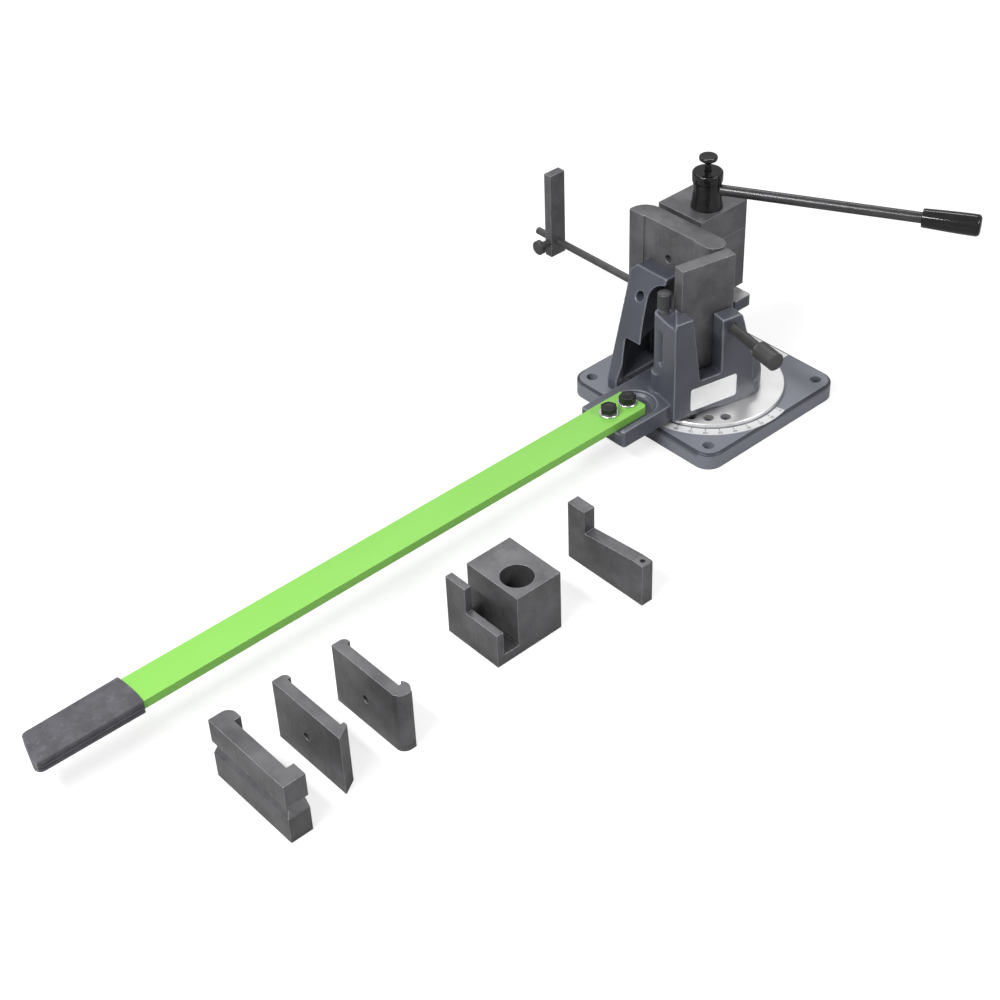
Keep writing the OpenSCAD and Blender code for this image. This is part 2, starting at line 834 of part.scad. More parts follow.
// Outline of the fork across its width and height
fork_outline = concat(
    [[fork_y0, fork_z0], [fork_y1 - fork_corner, fork_z0], [fork_y1, fork_z0 + fork_corner],
     [fork_y1, shoulder_z]],
    [for (i = [0:shoulder_steps])
        let (turn = 90 - (1 - i / shoulder_steps) * shoulder_turn)
        [short_post_y0 + short_post_w - short_post_r * (1 - cos(turn)),
         short_post_z - short_post_r * (1 - sin(turn))]],
    [[short_post_y0, short_post_z], [slot_y1, slot_floor_z], [slot_y0, slot_floor_z],
     [fork_y0 + tall_post_w, tall_post_z], [fork_y0, tall_post_z]]);

module fork() {
    intersection() {
        prism_x(0, fork_front, fork_outline);
        prism_y(fork_y0, fork_y1, [[fork_back, fork_z0], [fork_front, fork_z0], [fork_front, slot_floor_z],
                [fork_front - fork_lean, tall_post_z], [fork_back, tall_post_z]]);
    }
}

// Hub, cut flat along the fork's front face
module arm_hub() {
    intersection() {
        union() {
            bar_z(disc_top, arm_z, 2 * boss_r);
            bar_z(arm_z, arm_top, 2 * arm_hub_r);
        }
        block([-arm_hub_r, -arm_hub_r, disc_top], [fork_front, arm_hub_r, arm_top]);
    }
}

// Column round the index pin, joined to the tall post above and below a window
module pin_lugs() {
    translate([pin_x, pin_y, 0]) {
        bar_z(fork_z0, ridge_z, 2 * lug_r);
    }
    intersection() {
        translate([pin_x, pin_y, 0]) bar_z(fork_z0, foot_boss_z, 2 * foot_boss_r);
        block([pin_x - foot_boss_r, pin_y - foot_boss_r, fork_z0],
              [pin_x + foot_boss_r, lug_side, foot_boss_z]);
    }
    block([web_back, fork_y0, fork_z0], [fork_back + cut, lug_side, ridge_z]);
    block([pin_x, pin_y - lug_r, fork_z0], [fork_back, lug_side, window_z0]);
    block([pin_x, pin_y - lug_r, window_z1], [fork_back, lug_side, ridge_z]);
}

// Space over the shelf that the index pin's head stands on, beside the tall post's ridge
module over_shelf()
    prism_z(shelf_z, tall_post_z + cut, [[fork_front - fork_lean, fork_y0],
            [fork_front, fork_y0 - lug_r], [pin_x - 2 * lug_r, fork_y0 - lug_r],
            [pin_x - 2 * lug_r, lug_side + cut], [ridge_back, lug_side + cut]]);

module tongue() {
    difference() {
        prism_z(tongue_z0, tongue_top, [[tongue_x - tongue_w / 2, -tongue_root],
                [tongue_x + tongue_w / 2, -tongue_root],
                [tongue_x + tongue_w / 2, -tongue_reach + tongue_chamfer],
                [tongue_x + tongue_w / 2 - tongue_chamfer, -tongue_reach],
                [tongue_x - tongue_w / 2 + tongue_chamfer, -tongue_reach],
                [tongue_x - tongue_w / 2, -tongue_reach + tongue_chamfer]]);
        translate([pocket_x, 0, 0]) {
            block([-pocket_w / 2, -tongue_reach - cut, lever_z],
                  [pocket_w / 2, -pocket_centre, tongue_top + cut]);
            translate([0, -pocket_centre, 0]) {
                bar_z(lever_z, tongue_top + cut, pocket_w - 2 * pocket_step);
                bar_z(lever_z + pocket_step_h, tongue_top + cut, pocket_w);
            }
        }
    }
}

module lever_bolt_places()
    for (i = [0, 1]) translate([bolt_x, bolt_y - i * bolt_pitch, 0]) children();

module swing_arm() {
    color("#33363d") difference() {
        union() {
            on_pivot() tongue();
            in_arm() {
                arm_hub();
                fork();
                pin_lugs();
            }
        }
        on_pivot() {
            bar_z(disc_top - cut, arm_top, bush_d + 2 * seat_fit);
            bar_z(arm_top - pivot_head_h, arm_top + cut, pivot_head_d + 2 * run_fit);
            lever_bolt_places() bar_z(arm_z - cut, tongue_top + cut, bolt_d + 2 * seat_fit);
        }
        in_arm() {
            over_shelf();
            translate([pin_x, pin_y, 0]) bar_z(arm_z - cut, tall_post_z, pin_d + 2 * run_fit);
            for (y = guide_ys) translate([0, y, guide_z])
                bar_x(fork_back - cut, fork_back + guide_depth, guide_d + 2 * run_fit);
            translate([0, screw_y, screw_z]) bar_x(fork_back - cut, fork_front + cut, screw_d + 2 * run_fit);
        }
    }
}

module arm_label() {
    color("#e8e9ea") in_arm()
        translate([fork_front, label_y0 + label_w / 2, label_z0 + label_h / 2]) rotate([90, 0, 90])
            linear_extrude(label_t) {
                square([label_w - 2 * label_r, label_h], center = true);
                square([label_w, label_h - 2 * label_r], center = true);
                for (sx = [-1, 1], sy = [-1, 1])
                    translate([sx * (label_w / 2 - label_r), sy * (label_h / 2 - label_r)])
                        circle(r = label_r);
            }
}

module jaw_plate() {
    color("#3a3a3c") in_arm() difference() {
        block([jaw_in, jaw_y1 - jaw_len, jaw_z], [jaw_out, jaw_y1, die_top]);
        for (y = guide_ys) translate([0, y, guide_z])
            bar_x(jaw_out - guide_in, jaw_out + cut, guide_d + 2 * seat_fit);
        translate([0, screw_y, screw_z]) bar_x(jaw_out - screw_tip_in, jaw_out + cut,
            screw_tip_d + 2 * run_fit);
    }
}

module jaw_guide_pins() {
    color("#8b8e92") in_arm() for (y = guide_ys) translate([0, y, guide_z])
        bar_x(jaw_out - guide_in, jaw_out - guide_in + guide_len, guide_d);
}

module at_screw() in_arm() translate([0, screw_y, screw_z]) rotate([0, 90, 0]) children();

module adjusting_screw() {
    color("#26272a") at_screw() {
        bar_z(jaw_out - screw_tip_in + run_fit, jaw_out + cut, screw_tip_d);
        rotate_extrude() polygon(concat([[0, jaw_out + slide_gap]],
            [for (z = [jaw_out + slide_gap:screw_pitch:knob_x - screw_pitch], h = [0, 1, 2, 3])
                [screw_d / 2 - (h == 0 || h == 3 ? screw_groove : 0), z + h * screw_pitch / 4]],
            [[0, knob_x - screw_pitch / 4]]));
        bar_z(knob_x - screw_pitch, knob_x + knob_screw_in, screw_tip_d);
    }
}

module adjusting_knob() {
    color("#2b2c2e") at_screw() difference() {
        translate([0, 0, knob_x]) chamfered(knob_d, knob_len, knob_edge);
        bar_z(knob_x - cut, knob_x + knob_screw_in, screw_tip_d + 2 * seat_fit);
    }
}

module index_pin() {
    color("#77797c") in_arm() translate([pin_x, pin_y, 0]) {
        translate([0, 0, pin_tip_z]) chamfered(pin_d, pin_head_z - pin_tip_z, pin_tip_edge);
        bar_z(pin_head_z - 2 * pin_tip_edge, pin_head_z + cut, pin_d);
        translate([0, 0, pin_head_z]) chamfered(pin_head_d, pin_head_h, pin_head_edge);
    }
}

module lever_bar() {
    color("#3f9c35") on_pivot() difference() {
        prism_z(lever_z, lever_top, [[lever_offset - lever_w / 2, -lever_near - lever_chamfer],
                [lever_offset - lever_w / 2 + lever_chamfer, -lever_near],
                [lever_offset + lever_w / 2 - lever_chamfer, -lever_near],
                [lever_offset + lever_w / 2, -lever_near - lever_chamfer],
                [lever_offset + lever_w / 2, -lever_far], [lever_offset - lever_w / 2, -lever_far]]);
        lever_bolt_places() bar_z(lever_z - cut, lever_top + cut, bolt_hole_d);
    }
}

module lever_bolts() {
    color("#2b2c2e") on_pivot() lever_bolt_places() {
        bar_z(bolt_end_z, lever_top + washer_t + cut, bolt_d);
        translate([0, 0, lever_top + washer_t]) hex_prism(bolt_af, bolt_head_h);
    }
}

module lever_washers() {
    color("#a3a6aa") on_pivot() lever_bolt_places() difference() {
        bar_z(lever_top, lever_top + washer_t, washer_d);
        bar_z(lever_top - cut, lever_top + washer_t + cut, bolt_d + 2 * seat_fit);
    }
}

module lever_grip() {
    color("#2c2d30") on_pivot() difference() {
        prism_z(lever_z - grip_wall, lever_top + grip_wall,
                [[lever_offset - lever_w / 2 - grip_wall, -grip_mouth],
                 [lever_offset + lever_w / 2 + grip_wall, -grip_mouth],
                 [lever_offset + lever_w / 2 + grip_wall, -grip_end + grip_slant],
                 [lever_offset + lever_w / 2 + grip_wall - grip_taper, -grip_end],
                 [lever_offset - lever_w / 2 - grip_wall, -grip_end + grip_slant]]);
        block([lever_offset - lever_w / 2 - seat_fit, -lever_far - seat_fit, lever_z - seat_fit],
              [lever_offset + lever_w / 2 + seat_fit, cut, lever_top + seat_fit]);
    }
}

module stop_rod() {
    color("#8f9296") on_pivot() translate([0, stop_y, stop_z])
        bar_x(-stop_reach, -bed_left + stop_in, stop_rod_d);
}

module stop_bar() {
    color("#3a3a3c") on_pivot() difference() {
        block([-stop_bar_at - stop_bar_t, stop_y - stop_bar_w / 2, stop_bar_z],
              [-stop_bar_at, stop_y + stop_bar_w / 2, stop_bar_z + stop_bar_h]);
        translate([0, stop_y, stop_z])
            bar_x(-stop_bar_at - stop_bar_t - cut, -stop_bar_at + cut, stop_rod_d + 2 * run_fit);
        translate([-stop_bar_at - stop_bar_t / 2, 0, stop_z])
            bar_y(stop_y - stop_bar_w / 2 - cut, stop_y, stop_thread_d + 2 * run_fit);
    }
}

module stop_thumbscrew() {
    color("#26272a") on_pivot()
        translate([-stop_bar_at - stop_bar_t / 2, stop_y - stop_rod_d / 2 - slide_gap, stop_z])
            rotate([90, 0, 0]) {
            cylinder(d = stop_thread_d, h = stop_bar_w / 2 - stop_rod_d / 2 + cut);
            translate([0, 0, stop_bar_w / 2 - stop_rod_d / 2]) cylinder(d = thumb_neck_d, h = thumb_neck);
            translate([0, 0, stop_bar_w / 2 - stop_rod_d / 2 + thumb_neck])
                chamfered(thumb_d, thumb_t, thumb_t / 7);
        }
}

module loose(y) on_pivot() translate([loose_x, y, 0]) children();

module loose_hole(z)
    translate([loose_hole_x, 0, z]) bar_y(-cut, loose_hole_depth, loose_hole_d);

module loose_groove_die() {
    color("#3a3a3c") loose(groove_die_y) difference() {
        union() {
            block([0, 0, 0], [groove_die_len, groove_die_t - groove_end_r, loose_h]);
            block([groove_end_r, 0, 0], [groove_die_len, groove_die_t, loose_h]);
            translate([groove_end_r, groove_die_t - groove_end_r, 0]) bar_z(0, loose_h, 2 * groove_end_r);
        }
        block([groove_lug_w, groove_die_t - groove_die_in, -cut],
              [groove_die_len - groove_lug_w, groove_die_t + cut, loose_h + cut]);
        prism_x(-cut, groove_die_len + cut, [[-cut, groove_z - groove_w / 2],
                [groove_in, groove_z], [groove_in, groove_z + groove_w / 4],
                [-cut, groove_z + groove_w / 4]]);
        prism_y(-cut, groove_die_t + cut, [[groove_die_len + cut, groove_z - groove_w / 2],
                [groove_die_len - groove_in, groove_z],
                [groove_die_len - groove_in, groove_z + groove_w / 4],
                [groove_die_len + cut, groove_z + groove_w / 4]]);
        loose_hole(groove_z);
    }
}

module loose_wedge_die() {
    color("#3a3a3c") loose(wedge_die_y) difference() {
        linear_extrude(loose_h) union() {
            polygon([[0, 0], [wedge_len, 0], [wedge_len - wedge_back, loose_plate_t],
                     [loose_end_r, loose_plate_t], [0, loose_plate_t - loose_end_r]]);
            translate([loose_end_r, loose_plate_t - loose_end_r]) circle(r = loose_end_r);
        }
        block([loose_lug_w, loose_plate_t - loose_lug_t, -cut],
              [wedge_len - wedge_back - wedge_land, loose_plate_t + cut, loose_h + cut]);
        loose_hole(loose_hole_z);
    }
}

module loose_round_die() {
    color("#3a3a3c") loose(round_die_y) difference() {
        linear_extrude(loose_h) union() {
            polygon([[0, 0], [loose_len - round_front_r, 0], [loose_len, round_front_r],
                     [loose_len, loose_plate_t], [loose_end_r, loose_plate_t],
                     [0, loose_plate_t - loose_end_r]]);
            translate([loose_end_r, loose_plate_t - loose_end_r]) circle(r = loose_end_r);
            translate([loose_len - round_front_r, round_front_r]) circle(r = round_front_r);
        }
        block([loose_lug_w, loose_plate_t - loose_lug_t, -cut],
              [loose_len - round_lug_w, loose_plate_t + cut, loose_h + cut]);
        loose_hole(loose_hole_z);
    }
}

module loose_ring_block() {
    color("#3f3f40") loose(ring_block_y) difference() {
        block([0, 0, 0], [loose_block_x, loose_block_y, loose_h]);
        block([-cut, ring_plate_t, ring_slot_z], [loose_block_x + cut, ring_plate_t + ring_slot_w,
            loose_h + cut]);
        block([ring_plate_left, -cut, ring_plate_h], [loose_block_x + cut, ring_plate_t + cut,
            loose_h + cut]);
        translate([ring_bore_x, ring_bore_y, 0]) bar_z(-cut, loose_h + cut, loose_bore_d);
    }
}

module loose_angle_bar() {
    color("#3a3a3c") loose(angle_bar_y) difference() {
        prism_y(0, angle_bar_t, [[0, 0], [angle_bar_len, 0], [angle_bar_len, angle_bar_h],
                [angle_bar_len - angle_pad_w, angle_bar_h], [angle_post_w, angle_bar_low_h],
                [angle_post_w, loose_h], [0, loose_h]]);
        translate([angle_bar_len - angle_pad_w / 2, angle_bar_t / 2, 0]) bar_z(angle_bar_h / 2,
            angle_bar_h + cut, angle_hole_d);
    }
}

base_plate();
index_disc();
disc_screws();
angle_scale();
blank_strip();
pivot_bolt();
pivot_washer();
pivot_nut();
pivot_bush();
bed_casting();
bed_screws();
die_plate();
die_screw();
clamp_block();
clamp_block_cap();
cap_screws();
guide_key();
eccentric_shaft();
eccentric_hub();
hub_knob();
handle_rod();
handle_grip();
swing_arm();
arm_label();
jaw_plate();
jaw_guide_pins();
adjusting_screw();
adjusting_knob();
index_pin();
lever_bar();
lever_bolts();
lever_washers();
lever_grip();
stop_rod();
stop_bar();
stop_thumbscrew();
loose_groove_die();
loose_wedge_die();
loose_round_die();
loose_ring_block();
loose_angle_bar();
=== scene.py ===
"""Looks of the flat bar bender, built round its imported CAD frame. All lengths are in metres."""

import math

import bmesh
import bpy
from mathutils import Matrix, Vector


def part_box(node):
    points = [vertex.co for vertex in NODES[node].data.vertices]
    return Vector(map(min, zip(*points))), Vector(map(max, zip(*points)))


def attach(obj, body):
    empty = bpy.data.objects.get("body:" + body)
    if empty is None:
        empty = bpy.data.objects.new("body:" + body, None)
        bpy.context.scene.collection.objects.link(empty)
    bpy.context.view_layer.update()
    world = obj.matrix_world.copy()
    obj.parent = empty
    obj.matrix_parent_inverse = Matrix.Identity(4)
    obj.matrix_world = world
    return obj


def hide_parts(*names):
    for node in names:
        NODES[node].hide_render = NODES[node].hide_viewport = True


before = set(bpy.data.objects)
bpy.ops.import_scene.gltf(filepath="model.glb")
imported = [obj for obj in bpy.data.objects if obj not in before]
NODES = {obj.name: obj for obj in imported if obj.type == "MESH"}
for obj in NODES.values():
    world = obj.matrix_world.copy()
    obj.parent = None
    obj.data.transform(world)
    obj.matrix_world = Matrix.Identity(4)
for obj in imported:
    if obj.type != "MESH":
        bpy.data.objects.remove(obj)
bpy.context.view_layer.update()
MM = 0.001
PIVOT = Vector((0.011, -0.004, 0.0))
ARM_TURN = math.radians(-12)

# Camera of the photograph's view
CAMERA_SENSOR = 36.0
CAMERA_LENS = 67.5022
CAMERA_FAR = 20.0
CAMERA_PLACE = Vector((1.202578, -1.336591, 1.288011))
CAMERA_RIGHT = Vector((0.66679202, 0.74445259, -0.03433296))
CAMERA_DOWN = Vector((0.44999638, -0.4389205, -0.77772235))
CAMERA_AHEAD = Vector((-0.59404686, 0.50312935, -0.62766965))

# Facets round the turned pieces
HUB_STEPS = 96
TURN_STEPS = 72
PIN_STEPS = 64
THIN_STEPS = 48

# Rounded and rubbed edges, painted paler as partly wear and partly painted highlight, and the scale
# of the turning rings on the index disc
BEVEL_SAMPLES = 6
DISC_RINGS = 2200.0

# Small steel pieces whose details the frame's boxes don't give
PIN_HEAD = 19.5 * MM
PIN_R = 6 * MM
PIN_TIP_R = 4.5 * MM
PIN_TIP = 1.5 * MM
BOLT_AF = 17 * MM
BOLT_R = 6 * MM
BOLT_TURNS = (0.35, 0.9)
BOLT_DISH = 0.3 * MM
BOLT_FACE = 0.97
BOLT_RIM = 0.78
BOLT_FALL = 0.45
WASHER_PLAY = 0.2 * MM
THUMB_HEAD = 7 * MM
THUMB_NECK = 11.4 * MM
THUMB_NECK_R = 4.5 * MM
THUMB_SHANK_R = 3 * MM
KNOB_CHAMFER = 0.9 * MM
KNURL_STEPS = 4
KNURL_COARSE = (1.6 * MM, 0.55 * MM)
KNURL_FINE = (1.4 * MM, 0.4 * MM)
THREAD_PITCH = 1.75 * MM
THREAD_DEPTH = 0.9 * MM
THREAD_FLANK = 0.4 * THREAD_PITCH
THREAD_FULL = 0.98
THREAD_LEAST = 3 * THREAD_PITCH

# Castings: voxels of the soft copies, and the machined skin on the table
VOXEL_FINE = 1.1 * MM
VOXEL_ROUNDS = 5
WELD = 0.01 * MM
TABLE_SKIN = 0.3 * MM
TABLE_PROUD = 0.1 * MM
LEVEL_UP = 0.999
LEVEL_TOL = 0.2 * MM

# Clamping handle, from the hub's axis outward
HANDLE_TURN = math.radians(29)
HANDLE_REACH = 303 * MM
HANDLE_GRIP = 63 * MM

# Numbers and ticks of the angle scale
SCALE_ZERO = 11.5
SCALE_MARKS = range(0, 111, 10)
SCALE_INNER = 89 * MM
SCALE_OUTER = 100 * MM
TICK_IN = 0.3 * MM
TICK_OUT = 4.2 * MM
TICK_W = 0.7 * MM
NUMBER_IN = 3.4 * MM
NUMBER_H = 5.2 * MM
INK_TOP = 0.04 * MM
INK_THICK = 0.03 * MM
NUMBER_THICK = 0.02 * MM

# Floor, world and lamps
AMBIENT = 0.4
AMBIENT_MIRRORED = 0.5
FLOOR_HALF = 6.0
FLOOR_DROP = 0.2 * MM
FLOOR_NEAR = 1.0
FLOOR_FAR = 2.2
FLOOR_GLOW_NEAR = 0.7
FLOOR_GLOW_FAR = 0.95
FLOOR_SEEN = (0.36, 0.36, 0.36, 1)
FLOOR_BOUNCE = (0.42, 0.42, 0.42, 1)
LAMP_AIM = Vector((0.0, -0.3, 0.1))
LAMPS = (
    # name, place, size, watts
    ("lamp_key", (0.0, -1.7, 1.8), (1.5, 0.22), 56.0),
    ("lamp_right", (2.0, 0.6, 1.6), (1.4, 0.22), 24.0),
    ("lamp_back", (-1.3, 1.0, 2.1), (1.6, 0.2), 14.0),
)


def make_camera():
    """Camera at the photograph's place, from its three axes."""
    data = bpy.data.cameras.new("camera")
    data.sensor_width = CAMERA_SENSOR
    data.lens = CAMERA_LENS
    data.clip_end = CAMERA_FAR
    cam = bpy.data.objects.new("camera", data)
    m = Matrix((CAMERA_RIGHT, -CAMERA_DOWN, -CAMERA_AHEAD)).transposed().to_4x4()
    m.translation = CAMERA_PLACE
    cam.matrix_world = m
    bpy.context.scene.collection.objects.link(cam)
    bpy.context.scene.camera = cam


# Materials


class Shader:
    """Short calls for building one material's node tree."""

    def __init__(self, name):
        self.mat = bpy.data.materials.new(name)
        self.mat.use_nodes = True
        self.tree = self.mat.node_tree
        self.bsdf = self.tree.nodes["Principled BSDF"]

    def add(self, kind, **values):
        node = self.tree.nodes.new(kind)
        for key, value in values.items():
            setattr(node, key, value)
        return node

    def link(self, a, b):
        self.tree.links.new(a, b)

    def coords(self, stretch):
        place = self.add("ShaderNodeTexCoord")
        mapping = self.add("ShaderNodeMapping")
        mapping.inputs["Scale"].default_value = stretch
        self.link(place.outputs["Object"], mapping.inputs["Vector"])
        return mapping.outputs["Vector"]

    def noise(self, scale, detail, stretch=(1, 1, 1), rough=0.55):
        node = self.add("ShaderNodeTexNoise")
        node.inputs["Scale"].default_value = scale
        node.inputs["Detail"].default_value = detail
        node.inputs["Roughness"].default_value = rough
        self.link(self.coords(stretch), node.inputs["Vector"])
        return node.outputs["Fac"]

    def ramp(self, source, low, high, a, b):
        node = self.add("ShaderNodeMapRange")
        node.inputs["From Min"].default_value = low
        node.inputs["From Max"].default_value = high
        node.inputs["To Min"].default_value = a
        node.inputs["To Max"].default_value = b
        self.link(source, node.inputs["Value"])
        return node.outputs["Result"]

    def mix(self, fac, a, b):
        node = self.add("ShaderNodeMix", data_type="RGBA")
        self.link(fac, node.inputs[0])
        for socket, value in ((node.inputs[6], a), (node.inputs[7], b)):
            if isinstance(value, tuple):
                socket.default_value = (*value, 1.0)
            else:
                self.link(value, socket)
        return node.outputs[2]

    def math(self, op, a, b):
        node = self.add("ShaderNodeMath", operation=op)
        for socket, value in ((node.inputs[0], a), (node.inputs[1], b)):
            if isinstance(value, float):
                socket.default_value = value
            else:
                self.link(value, socket)
        return node.outputs[0]

    def bump(self, height, distance, strength, normal=None):
        node = self.add("ShaderNodeBump")
        node.inputs["Strength"].default_value = strength
        node.inputs["Distance"].default_value = distance
        self.link(height, node.inputs["Height"])
        if normal is not None:
            self.link(normal, node.inputs["Normal"])
        return node.outputs["Normal"]

    def rounded(self, radius):
        node = self.add("ShaderNodeBevel")
        node.samples = BEVEL_SAMPLES
        node.inputs["Radius"].default_value = radius
        return node.outputs["Normal"]

    def edge_mask(self, bevel_normal):
        """1 on edges, 0 on flats."""
        geo = self.add("ShaderNodeNewGeometry")
        dot = self.add("ShaderNodeVectorMath", operation="DOT_PRODUCT")
        self.link(geo.outputs["Normal"], dot.inputs[0])
        self.link(bevel_normal, dot.inputs[1])
        return self.ramp(dot.outputs["Value"], 0.995, 0.80, 0.0, 1.0)

    def set(self, name, value):
        socket = self.bsdf.inputs[name]
        if isinstance(value, float):
            socket.default_value = value
        else:
            self.link(value, socket)


def cast_paint(name, colour, grain=0.22 * MM, shine=0.5, coat=0.2):
    """Anthracite coat over a cast surface: fine orange peel, rubbed edges painted paler as partly
    wear and partly painted highlight, uneven gloss.
    """
    n = Shader(name)
    edge = n.rounded(1.6 * MM)
    peel = n.noise(420.0, 3.0)
    cast = n.noise(90.0, 4.0)
    normal = n.bump(peel, 0.12 * MM, 0.55, edge)
    normal = n.bump(cast, grain, 0.7, normal)
    shape = n.add("ShaderNodeNewGeometry")
    ridge = n.ramp(shape.outputs["Pointiness"], 0.51, 0.55, 0.0, 1.0)
    worn_and_highlight = n.math("MAXIMUM", n.edge_mask(edge), ridge)
    patch = n.noise(14.0, 4.0)
    specks = n.ramp(n.noise(900.0, 2.0), 0.62, 0.72, 0.0, 1.0)
    base = n.mix(n.ramp(patch, 0.35, 0.65, 0.0, 1.0), colour, tuple(c * 1.32 for c in colour))
    base = n.mix(n.math("MULTIPLY", specks, 0.18), base, (0.16, 0.17, 0.2))
    # Edges and pointiness ridges painted paler: partly rubbed paint, partly painted highlight.
    base = n.mix(n.math("MULTIPLY", worn_and_highlight, 0.7), base, (0.24, 0.25, 0.29))
    n.set("Base Color", base)
    n.set("Roughness", n.ramp(n.noise(60.0, 4.0), 0.3, 0.7, 0.3, 0.47))
    n.set("Specular IOR Level", shine)
    n.set("Coat Weight", coat)
    n.set("Coat Roughness", 0.24)
    n.set("Normal", normal)
    return n.mat


def black_oxide(name, brush_axis, colour=(0.092, 0.09, 0.095)):
    """Blackened steel: brush marks, handling smudges, paler edges that are partly ground bare and
    partly painted highlight.
    """
    n = Shader(name)
    edge = n.rounded(1 * MM)
    stretch = [1.0, 1.0, 1.0]
    stretch[brush_axis] = 0.02
    brush = n.noise(900.0, 4.0, tuple(stretch), 0.7)
    fine = n.noise(2600.0, 2.0, tuple(stretch), 0.6)
    cloud = n.noise(26.0, 5.0, (1, 1, 1), 0.6)
    speck = n.noise(1500.0, 2.0)
    normal = n.bump(brush, 0.05 * MM, 0.5, edge)
    normal = n.bump(speck, 0.04 * MM, 0.4, normal)
    worn_and_highlight = n.edge_mask(edge)
    dark = tuple(c * 0.72 for c in colour)
    pale = tuple(c * 1.5 for c in colour)
    base = n.mix(n.ramp(cloud, 0.34, 0.66, 0.0, 1.0), dark, pale)
    streak = n.ramp(fine, 0.4, 0.75, 0.0, 0.35)
    base = n.mix(streak, base, tuple(c * 2.3 for c in colour))
    # Edges painted pale grey: partly ground bare steel, partly painted highlight.
    base = n.mix(n.math("MULTIPLY", worn_and_highlight, 0.85), base, (0.42, 0.42, 0.43))
    n.set("Base Color", base)
    n.set("Metallic", 0.45)
    n.set("Roughness", n.ramp(brush, 0.3, 0.7, 0.33, 0.48))
    n.set("Anisotropic", 0.3)
    n.set("Normal", normal)
    return n.mat


def machined(name, colour, centre):
    """Turned steel: fine rings round a centre, and soft smears."""
    n = Shader(name)
    edge = n.rounded(0.6 * MM)
    place = n.add("ShaderNodeTexCoord")
    shift = n.add("ShaderNodeVectorMath", operation="SUBTRACT")
    n.link(place.outputs["Object"], shift.inputs[0])
    shift.inputs[1].default_value = (centre[0], centre[1], 0.0)
    flat = n.add("ShaderNodeVectorMath", operation="MULTIPLY")
    n.link(shift.outputs[0], flat.inputs[0])
    flat.inputs[1].default_value = (1.0, 1.0, 0.0)
    size = n.add("ShaderNodeVectorMath", operation="LENGTH")
    n.link(flat.outputs[0], size.inputs[0])
    wave = n.add("ShaderNodeTexNoise")
    wave.noise_dimensions = "1D"
    wave.inputs["Scale"].default_value = DISC_RINGS
    wave.inputs["Detail"].default_value = 3.0
    n.link(size.outputs["Value"], wave.inputs["W"])
    smear = n.noise(18.0, 4.0)
    normal = n.bump(wave.outputs["Fac"], 0.06 * MM, 0.45, edge)
    pale = tuple(min(1.0, c * 1.12) for c in colour)
    base = n.mix(n.ramp(wave.outputs["Fac"], 0.35, 0.65, 0.0, 1.0), colour, pale)
    base = n.mix(n.ramp(smear, 0.5, 0.75, 0.0, 0.3), base, tuple(c * 0.7 for c in colour))
    n.set("Base Color", base)
    n.set("Metallic", 0.85)
    n.set("Roughness", n.ramp(smear, 0.3, 0.7, 0.26, 0.4))
    n.set("Normal", normal)
    return n.mat


def plain_steel(name, colour, rough, metallic, bevel=0.5 * MM):
    """Plain metal: faint machining marks, smudges, and rubbed edges painted paler as partly wear and
    partly painted highlight.
    """
    n = Shader(name)
    edge = n.rounded(bevel)
    marks = n.noise(1800.0, 3.0, (1, 1, 0.25))
    smudge = n.noise(70.0, 4.0)
    worn_and_highlight = n.edge_mask(edge)
    base = n.mix(n.ramp(smudge, 0.35, 0.65, 0.0, 1.0), tuple(c * 0.8 for c in colour), colour)
    # Edges painted paler: partly rubbed metal, partly painted highlight.
    base = n.mix(n.math("MULTIPLY", worn_and_highlight, 0.4), base, tuple(min(1.0, c * 2.2 + 0.05) for c in colour))
    n.set("Base Color", base)
    n.set("Metallic", metallic)
    n.set("Roughness", n.ramp(smudge, 0.3, 0.7, rough - 0.06, rough + 0.08))
    n.set("Normal", n.bump(marks, 0.04 * MM, 0.4, edge))
    return n.mat


def lever_paint(name):
    """Bright green powder coat with a light orange peel, and a painted highlight of lighter green on
    its edges.
    """
    n = Shader(name)
    edge = n.rounded(0.9 * MM)
    peel = n.noise(700.0, 2.0)
    tint = n.noise(9.0, 3.0, (1, 0.3, 1))
    base = n.mix(n.ramp(tint, 0.35, 0.65, 0.0, 1.0), (0.19, 0.475, 0.072), (0.21, 0.505, 0.086))
    # Edges painted lighter green as a painted highlight.
    base = n.mix(n.math("MULTIPLY", n.edge_mask(edge), 0.3), base, (0.3, 0.75, 0.17))
    n.set("Base Color", base)
    n.set("Roughness", n.ramp(n.noise(160.0, 3.0), 0.3, 0.7, 0.42, 0.54))
    n.set("Specular IOR Level", 0.4)
    n.set("Normal", n.bump(peel, 0.05 * MM, 0.5, edge))
    return n.mat


def rubber(name):
    """Matt moulded rubber with scuffs and a trace of dust."""
    n = Shader(name)
    grain = n.noise(1500.0, 3.0)
    scuff = n.noise(55.0, 6.0, (1, 1, 1), 0.7)
    dust = n.noise(230.0, 5.0, (1, 0.6, 1), 0.75)
    base = n.mix(n.ramp(scuff, 0.4, 0.7, 0.0, 1.0), (0.052, 0.052, 0.06), (0.088, 0.088, 0.1))
    base = n.mix(n.ramp(dust, 0.56, 0.78, 0.0, 0.5), base, (0.2, 0.2, 0.22))
    n.set("Base Color", base)
    n.set("Roughness", n.ramp(scuff, 0.3, 0.7, 0.62, 0.78))
    n.set("Specular IOR Level", 0.35)
    n.set("Sheen Weight", 0.12)
    n.set("Normal", n.bump(grain, 0.06 * MM, 0.6))
    return n.mat


